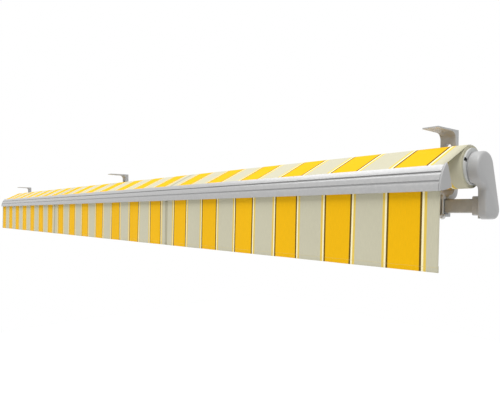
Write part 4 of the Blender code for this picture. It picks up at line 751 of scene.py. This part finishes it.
class AWNING_OT_valance(bpy.types.Operator):
    """Hang the valance from the front bar: bead, hanging cloth, folded hem and lapped seams"""
    bl_idname = "awning.valance"
    bl_label = "Valance"

    def execute(self, context):
        cloth = settings("cloth")
        low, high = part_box("valance")
        columns = cloth_columns(FINE)
        width = columns[-1]
        plane = (low.y + high.y) / 2
        bead = (high.y - low.y) / 2 - cloth.thickness
        bottom = low.z + cloth.thickness / 2 + cloth.hem_fold
        centre = Vector((plane, high.z - (high.y - low.y) / 2))
        neck = bead_path(centre, Vector((0, -1)), bead, bead + VALANCE_NECK)
        top = neck[-1].y
        sheet = [Vector((plane, z)) for z in steps(top - SHEET_START, bottom, 18)]
        fold_middle = Vector((plane + cloth.hem_fold, bottom))
        fold = [fold_middle + cloth.hem_fold * Vector((math.cos(a), math.sin(a)))
                for a in steps(math.pi, math.tau, 6)][1:]
        turned_up = [Vector((plane + 2 * cloth.hem_fold, z))
                     for z in steps(bottom, bottom + cloth.hem_height, 3)[1:]]
        path = [*neck, *sheet, *fold, *turned_up]
        lengths = path_lengths(path)

        def hung(u, y, z):
            """The point, leaning out and swung by shallow waves that grow towards the hem."""
            depth = max(0.0, min(1.0, (top - z) / (top - low.z)))
            waves = sum(share * math.sin(math.tau * u / (stretch * cloth.wave_length) + start)
                        for share, stretch, start in WAVES)
            swing = cloth.wave_height * waves * depth ** WAVE_GROWTH - cloth.valance_lean * depth
            return right_edge() - u, y + swing, z

        mesh = sheet_mesh(lengths, columns, lambda u, v: hung(u, *path[lengths.index(v)]))
        valance = cloth_piece("valance_cloth", mesh, "front_bar")
        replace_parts(valance, "valance")

        seams = [cloth.first_seam + i * cloth.panel_width
                 for i in range(math.ceil((width - cloth.first_seam) / cloth.panel_width))]
        heights = steps(top - LAP_START, low.z + cloth.thickness, 18)
        laps = self.laps(cloth, seams, plane - cloth.thickness, heights, hung)
        front = plane - cloth.thickness / 2
        hem = low.z + cloth.hem_height * HEM_STITCH
        rows = [[hung(u, front, hem) for u in steps(STITCH_INSET, width - STITCH_INSET, 340)]]
        for seam in seams:
            for side in (-1, 1):
                u = seam + side * cloth.seam_width / 2 * STITCH_ROW
                rows.append([hung(u, front - cloth.thickness, z)
                             for z in steps(top - LAP_STITCH_START, low.z + STITCH_INSET / 2, 20)])
        self.stitches(cloth, rows)
        return {"FINISHED"}

    def laps(self, cloth, seams, front, heights, hung):
        """The strips of cloth that overlap at the seams, in front of the valance."""
        strips = bmesh.new()
        start = heights[0]
        drops = [start - z for z in heights]
        for seam in seams:
            columns = steps(seam - cloth.seam_width / 2, seam + cloth.seam_width / 2, 4)
            part = sheet_mesh(drops, columns, lambda u, v: hung(u, front, start - v))
            data = plain_mesh(part)
            strips.from_mesh(data)
            bpy.data.meshes.remove(data)
        return cloth_piece("valance_laps", strips, "front_bar", LAP_THICKNESS)

    def stitches(self, cloth, rows):
        """Rows of stitches on the hem and down both edges of each lapped seam."""
        mesh = bmesh.new()
        for row in rows:
            corners = [mesh.verts.new(point) for point in row]
            for near, far in zip(corners, corners[1:]):
                mesh.edges.new((near, far))
        data = run_tree("valance_stitches", plain_mesh(mesh), stitch_tree(), {
            "Pitch": cloth.stitch_pitch, "Length": cloth.stitch_length, "Width": cloth.stitch_width,
            "Material": look("thread"),
        })
        return piece_from("valance_stitches", data, look("thread"), "front_bar")


def stitch_tree():
    """Stitches: short thread capsules laid along each edge path."""
    tree, given, out = node_group("Stitch rows", "GeometryNodeTree", {
        "Geometry": "Geometry", "Float": "Pitch, Length, Width", "Material": "Material",
    }, {"Geometry": "Geometry"})
    path = made(tree, "GeometryNodeMeshToCurve", {0: given["Geometry"]})
    spots = put(tree, "GeometryNodeCurveToPoints", {"Curve": path, "Length": given["Pitch"]}, mode="LENGTH")
    bead = made(tree, "GeometryNodeMeshUVSphere", {"Segments": 6, "Rings": 4, "Radius": 0.5})
    capsule = moved(tree, bead, Scale=vector(tree, given["Width"], given["Width"], given["Length"]))
    turn = made(tree, "FunctionNodeAlignRotationToVector", {"Vector": spots.outputs["Tangent"]}, axis="Z")
    laid = made(tree, "GeometryNodeInstanceOnPoints", {
        "Points": spots.outputs["Points"], "Instance": capsule, "Rotation": turn})
    return end_tree(tree, laid, given["Material"], out)


class AWNING_OT_cloth_welt(bpy.types.Operator):
    """Sew the main cloth round its bead in the front bar's upper channel"""
    bl_idname = "awning.cloth_welt"
    bl_label = "Cloth bead"

    def execute(self, context):
        cloth = settings("cloth")
        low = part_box("cloth_welt")[0]
        start = span_line()[0]
        centre = Vector((low.y + WELT_RADIUS, low.z + WELT_RADIUS))
        way = start - centre
        path = bead_path(centre, way.normalized(), WELT_RADIUS - cloth.thickness, way.length - WELT_SHORT)
        lengths = path_lengths(path)
        columns = cloth_columns(BROAD)
        mesh = sheet_mesh(lengths, columns, lambda u, v: (right_edge() - u, *path[lengths.index(v)]))
        welt = cloth_piece("cloth_bead", mesh, "front_bar")
        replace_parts(welt, "cloth_welt")
        return {"FINISHED"}


# Metalwork and plastic

class AWNING_OT_mounting(bpy.types.Operator):
    """Finish the torsion bar, its ceiling brackets and clamps"""
    bl_idname = "awning.mounting"
    bl_label = "Torsion bar and ceiling brackets"

    def execute(self, context):
        edge = settings("metal").edge
        finish("root", "bar_paint", edge, "torsion_bar")
        for place in BRACKETS:
            finish("root", "bracket_paint", edge, "ceiling_bracket_" + place, "bar_clamp_" + place)
        return {"FINISHED"}


class AWNING_OT_end_covers(bpy.types.Operator):
    """Finish the end covers, the brackets in them and their collar screws"""
    bl_idname = "awning.end_covers"
    bl_label = "End covers and brackets"

    def execute(self, context):
        metal = settings("metal")
        for side in SIDES:
            finish("root", "cover_plastic", metal.moulded_edge, "end_cover_" + side, segments=3)
            finish("root", "cast_aluminium", metal.edge, "end_bracket_" + side)
            finish("root", "steel", metal.edge, "collar_screw_" + side)
        return {"FINISHED"}


class AWNING_OT_roller(bpy.types.Operator):
    """Finish the roller tube, its plugs and the worm gear with its crank eye"""
    bl_idname = "awning.roller"
    bl_label = "Roller and worm gear"

    def execute(self, context):
        edge = settings("metal").edge
        finish("roller", "steel", 0, "roller_tube")
        finish("roller", "plug_plastic", edge, "roller_plug_right", "roller_plug_left")
        finish("roller", "brass", edge / 2, "worm_wheel")
        finish("root", "cast_aluminium", edge / 2, "gear_housing", "gear_lid")
        finish("crank", "steel", 0, "worm_shaft")
        finish("crank", "cast_aluminium", edge, "crank_eye")
        return {"FINISHED"}


class AWNING_OT_arms(bpy.types.Operator):
    """Finish the two folding arms and the shoulder brackets that carry them"""
    bl_idname = "awning.arms"
    bl_label = "Folding arms"

    def execute(self, context):
        edge = settings("metal").edge
        for side in SIDES:
            upper, fore = side + "_upper_arm", side + "_forearm"
            finish("root", "cast_aluminium", edge * 2, "shoulder_bracket_" + side,
                   "shoulder_back_plate_" + side, segments=3)
            finish("root", "steel", edge / 2, "shoulder_pin_" + side)
            finish(upper, "extruded_aluminium", 0, "upper_arm_" + side)
            finish(upper, "cast_aluminium", edge * 2, "shoulder_knuckle_" + side, "elbow_fork_" + side,
                   segments=3)
            finish(upper, "steel", edge / 2, "elbow_pin_" + side)
            finish(fore, "extruded_aluminium", 0, "forearm_" + side)
            finish(fore, "cast_aluminium", edge * 2, "elbow_knuckle_" + side, "hand_knuckle_" + side,
                   segments=3)
            finish(fore, "steel", 0, "elbow_cable_" + side)
        return {"FINISHED"}


class AWNING_OT_front_bar(bpy.types.Operator):
    """Finish the front bar with its caps, hand brackets and hand pins"""
    bl_idname = "awning.front_bar"
    bl_label = "Front bar"

    def execute(self, context):
        metal = settings("metal")
        finish("front_bar", "extruded_aluminium", metal.edge, "front_profile")
        for side in SIDES:
            finish("front_bar", "cover_plastic", metal.moulded_edge, "front_cap_" + side, segments=3)
            finish("front_bar", "cast_aluminium", metal.edge * 2, "hand_bracket_" + side, segments=3)
            finish("front_bar", "steel", metal.edge / 2, "hand_pin_" + side)
        return {"FINISHED"}


# Bolts and other small parts

@cache
def bolt_tree():
    """Socket bolts: one on each point, its head along the point's Axis and its shank of length Shank."""
    tree, given, out = node_group("Socket bolts", "GeometryNodeTree", {
        "Geometry": "Geometry", "Float": "Head radius, Head height, Socket, Shank radius",
        "Material": "Material",
    }, {"Geometry": "Geometry"})

    def cut(mesh, cutter):
        return made(tree, "GeometryNodeMeshBoolean", {"Mesh 1": mesh, "Mesh 2": cutter},
                    operation="DIFFERENCE", solver="EXACT")

    def set_out(part, turn, **size):
        return made(tree, "GeometryNodeInstanceOnPoints", {"Points": given["Geometry"], "Instance": part,
                                                           "Rotation": turn, **size})

    def named(name, kind):
        return made(tree, "GeometryNodeInputNamedAttribute", {"Name": name}, data_type=kind)

    ball = made(tree, "GeometryNodeMeshUVSphere", {"Segments": 28, "Rings": 14, "Radius": 1.0})
    size = vector(tree, given["Head radius"], given["Head radius"], given["Head height"])
    block = made(tree, "GeometryNodeMeshCube", {"Size": (2 * CUTTER, 2 * CUTTER, CUTTER)})
    head = cut(moved(tree, ball, Scale=size), moved(tree, block, Translation=(0, 0, -CUTTER / 2)))
    hexagon = made(tree, "GeometryNodeMeshCylinder", {
        "Vertices": 6, "Radius": calc(tree, "DIVIDE", given["Socket"], 2.0), "Depth": CUTTER / 2})
    rise = calc(tree, "ADD", calc(tree, "MULTIPLY", given["Head height"], SOCKET_DEPTH), CUTTER / 4)
    head = cut(head, moved(tree, hexagon, Translation=vector(tree, z=rise)))
    rod = made(tree, "GeometryNodeMeshCylinder", {
        "Vertices": 16, "Radius": given["Shank radius"], "Depth": 1.0})
    rod = moved(tree, rod, Translation=(0, 0, -0.5))
    axis = named("Axis", "FLOAT_VECTOR")
    turn = made(tree, "FunctionNodeAlignRotationToVector", {"Vector": axis}, axis="Z")
    both = put(tree, "GeometryNodeJoinGeometry")
    reach = vector(tree, 1.0, 1.0, named("Shank", "FLOAT"))
    for part in (set_out(head, turn), set_out(rod, turn, Scale=reach)):
        tree.links.new(part, both.inputs[0])
    return end_tree(tree, both.outputs[0], given["Material"], out)


def bolt_points(spots):
    """A mesh of points from (seat, way out, shank length) of each bolt."""
    data = bpy.data.meshes.new("bolt_spots")
    data.from_pydata([seat for seat, _, _ in spots], [], [])
    ways = data.attributes.new("Axis", "FLOAT_VECTOR", "POINT")
    ways.data.foreach_set("vector", [number for _, way, _ in spots for number in way])
    shanks = data.attributes.new("Shank", "FLOAT", "POINT")
    shanks.data.foreach_set("value", [shank for _, _, shank in spots])
    return data


class AWNING_OT_bolts(bpy.types.Operator):
    """Set the round-headed bolts of the bar clamps, the shoulder back plates and the hand brackets"""
    bl_idname = "awning.bolts"
    bl_label = "Bolts"

    def execute(self, context):
        metal = settings("metal")
        clamp_nodes = [f"clamp_bolt_{place}_{number}" for place in BRACKETS for number in (1, 2)]
        fixed = [self.clamp_bolt(*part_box(node), metal) for node in clamp_nodes]
        moving = []
        for side in SIDES:
            fixed += self.plate_bolts(*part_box("shoulder_back_plate_" + side), metal)
            moving += self.hand_bolts(*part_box("hand_bracket_" + side), metal)
        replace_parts(self.bolts("bolts_fixed", fixed, "root", metal), *clamp_nodes)
        self.bolts("bolts_front_bar", moving, "front_bar", metal)
        return {"FINISHED"}

    def bolts(self, name, spots, body, metal):
        data = run_tree(name, bolt_points(spots), bolt_tree(), {
            "Head radius": metal.bolt_head, "Head height": metal.bolt_rise, "Socket": metal.bolt_socket,
            "Shank radius": metal.bolt_shank, "Material": look("steel"),
        })
        return piece_from(name, data, look("steel"), body)

    def clamp_bolt(self, low, high, metal):
        """A bolt that stands for a CAD one, with its head down."""
        middle = (low + high) / 2
        seat = low.z + metal.bolt_rise
        return (middle.x, middle.y, seat), (0, 0, -1), high.z - seat

    def plate_bolts(self, low, high, metal):
        """Four bolts in the back plate, with their heads towards the wall."""
        middle = (low.x + high.x) / 2
        heights = (low.z + metal.plate_bolt_inset, high.z - metal.plate_bolt_inset)
        return [((middle + side * metal.plate_bolt_pitch / 2, high.y, z), (0, 1, 0), 2 * (high.y - low.y))
                for side in (-1, 1) for z in heights]

    def hand_bolts(self, low, high, metal):
        """Two bolts through the hand bracket's plate, square to the front bar's leaning back."""
        middle = (low.x + high.x) / 2
        way = (0, math.cos(metal.hand_lean), math.sin(metal.hand_lean))
        return [((middle + side * metal.hand_bolt_pitch / 2, low.y + metal.hand_bolt_back,
                  high.z - metal.hand_bolt_drop), way, metal.hand_bolt_drop) for side in (-1, 1)]


class AWNING_OT_small_parts(bpy.types.Operator):
    """Make the cross pin of the crank's eye and the rubber stops in the roller plugs' notches"""
    bl_idname = "awning.small_parts"
    bl_label = "Cross pin and stops"

    def execute(self, context):
        metal = settings("metal")
        self.cross_pin(metal)
        for side, sign in (("right", 1), ("left", -1)):
            self.stop(side, sign, metal)
        return {"FINISHED"}

    def cross_pin(self, metal):
        """Pin through the eye's sleeve and the worm shaft's end."""
        low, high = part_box("crank_eye")
        shaft_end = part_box("worm_shaft")[0].z
        radius = metal.cross_pin
        mesh = bmesh.new()
        bmesh.ops.create_cone(mesh, cap_ends=True, segments=24, radius1=radius, radius2=radius,
                              depth=high.x - low.x + radius)
        rims = [edge for edge in mesh.edges if abs(edge.verts[0].co.z - edge.verts[1].co.z) < WELD]
        bmesh.ops.bevel(mesh, geom=rims, offset=radius / 4, segments=3, affect="EDGES", profile=0.5)
        place = Matrix.Translation(((low.x + high.x) / 2, (low.y + high.y) / 2, (high.z + shaft_end) / 2))
        bmesh.ops.transform(mesh, matrix=place @ Matrix.Rotation(math.pi / 2, 4, "Y"), verts=mesh.verts)
        piece_from("crank_cross_pin", plain_mesh(mesh), look("steel"), "crank")

    def stop(self, side, sign, metal):
        """Stop in the notch of the plug's rim, a little below the plug's outer face."""
        low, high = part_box("roller_plug_" + side)
        rim = (high.z - low.z) / 2
        face = high.x if sign > 0 else low.x
        mesh = bmesh.new()
        bmesh.ops.create_cube(mesh, size=1)
        bmesh.ops.scale(mesh, vec=(STOP_THICKNESS, metal.notch_depth, metal.notch_width), verts=mesh.verts)
        bmesh.ops.bevel(mesh, geom=mesh.edges, offset=STOP_EDGE, segments=2, affect="EDGES", profile=0.5)
        out = Matrix.Translation((face - sign * (STOP_SUNK + STOP_THICKNESS / 2),
                                  rim - metal.notch_depth / 2 - STOP_SUNK, 0))
        middle = roll_place()[0]
        turn = Matrix.Translation((0, middle.y, middle.z)) @ Matrix.Rotation(metal.notch_angle, 4, "X")
        bmesh.ops.transform(mesh, matrix=turn @ out, verts=mesh.verts)
        piece_from("plug_stop_" + side, plain_mesh(mesh), look("stop_rubber"), "roller")


class AWNING_OT_stage(bpy.types.Operator):
    """Set the floor, the lamps, the sky and the camera"""
    bl_idname = "awning.stage"
    bl_label = "Stage"

    def execute(self, context):
        stage = settings("stage")
        self.floor(stage)
        self.lamp("soft_lamp", stage.lamp_strength, stage.lamp_softness, stage.lamp_direction)
        self.lamp("rim_lamp", stage.rim_strength, stage.rim_softness, stage.rim_direction)
        self.sky(stage)
        self.camera(stage)
        context.scene.view_settings.view_transform = "Standard"
        return {"FINISHED"}

    def seen_directly(self, tree):
        """1 for what the camera, a reflection or glass sees, 0 for the light that reaches the object."""
        rays = put(tree, "ShaderNodeLightPath").outputs
        seen = calc(tree, "MAXIMUM", rays["Is Camera Ray"], rays["Is Glossy Ray"])
        return calc(tree, "MAXIMUM", seen, rays["Is Transmission Ray"])

    def floor(self, stage):
        half = stage.floor_size / 2
        data = bpy.data.meshes.new("floor")
        data.from_pydata([(x, y, -stage.floor_drop) for x, y in
                          ((-half, -half), (half, -half), (half, half), (-half, half))], [], [(0, 1, 2, 3)])
        material = bpy.data.materials.new("Pale floor")
        material.use_nodes = True
        tree = material.node_tree
        tree.nodes.remove(tree.nodes["Principled BSDF"])
        pale = made(tree, "ShaderNodeBsdfDiffuse", {"Color": (*stage.floor_tone, 1)})
        dim = made(tree, "ShaderNodeBsdfDiffuse", {"Color": (*[stage.floor_light] * 3, 1)})
        mixed = made(tree, "ShaderNodeMixShader", {0: self.seen_directly(tree), 1: dim, 2: pale})
        tree.links.new(mixed, tree.nodes["Material Output"].inputs["Surface"])
        data.materials.append(material)
        linked("floor", data)

    def lamp(self, name, strength, softness, direction):
        data = bpy.data.lights.new(name, "SUN")
        data.energy = strength
        data.angle = softness
        linked(name, data).rotation_euler = (-Vector(direction)).to_track_quat("-Z", "Y").to_euler()

    def sky(self, stage):
        world = bpy.data.worlds.new("Studio")
        bpy.context.scene.world = world
        world.use_nodes = True
        tree = world.node_tree
        background = tree.nodes["Background"]
        background.inputs["Color"].default_value = (1, 1, 1, 1)
        strength = spread(tree, self.seen_directly(tree), 0, 1, stage.sky_strength, 1.0)
        tree.links.new(strength, background.inputs["Strength"])

    def camera(self, stage):
        data = bpy.data.cameras.new("camera")
        data.sensor_width = stage.sensor
        data.lens = stage.lens
        data.shift_y = stage.shift
        data.clip_start = NEAREST_SEEN
        camera = linked("camera", data)
        camera.location = stage.camera_place
        level = math.cos(stage.camera_pitch)
        ahead = Vector((-math.cos(stage.camera_yaw) * level, math.sin(stage.camera_yaw) * level,
                        math.sin(stage.camera_pitch)))
        camera.rotation_euler = ahead.to_track_quat("-Z", "Y").to_euler()
        bpy.context.scene.camera = camera


PIECES = (
    AWNING_OT_mounting,
    AWNING_OT_end_covers,
    AWNING_OT_roller,
    AWNING_OT_arms,
    AWNING_OT_front_bar,
    AWNING_OT_bolts,
    AWNING_OT_small_parts,
    AWNING_OT_cloth_roll,
    AWNING_OT_cloth_span,
    AWNING_OT_cloth_welt,
    AWNING_OT_valance,
    AWNING_OT_stage,
)
SETTINGS = {
    "awning_cloth": AwningClothSettings,
    "awning_metal": AwningMetalSettings,
    "awning_stage": AwningStageSettings,
}


class AWNING_PT_pieces(bpy.types.Panel):
    """Buttons that build each piece, and the settings they use"""
    bl_idname = "AWNING_PT_pieces"
    bl_label = "Folding-arm awning"
    bl_space_type = "VIEW_3D"
    bl_region_type = "UI"
    bl_category = "Awning"

    def draw(self, context):
        for piece in PIECES:
            self.layout.operator(piece.bl_idname)
        for name, group in SETTINGS.items():
            box = self.layout.box()
            for key in group.__annotations__:
                box.prop(getattr(context.scene, name), key)


def register():
    for item in (*SETTINGS.values(), *PIECES, AWNING_PT_pieces):
        bpy.utils.register_class(item)
    for name, group in SETTINGS.items():
        setattr(bpy.types.Scene, name, PointerProperty(type=group))


def unregister():
    for name in SETTINGS:
        delattr(bpy.types.Scene, name)
    for item in reversed((*SETTINGS.values(), *PIECES, AWNING_PT_pieces)):
        bpy.utils.unregister_class(item)


def main():
    register()
    for piece in PIECES:
        group, operator = piece.bl_idname.split(".")
        getattr(getattr(bpy.ops, group), operator)()


if __name__ == "__main__":
    main()
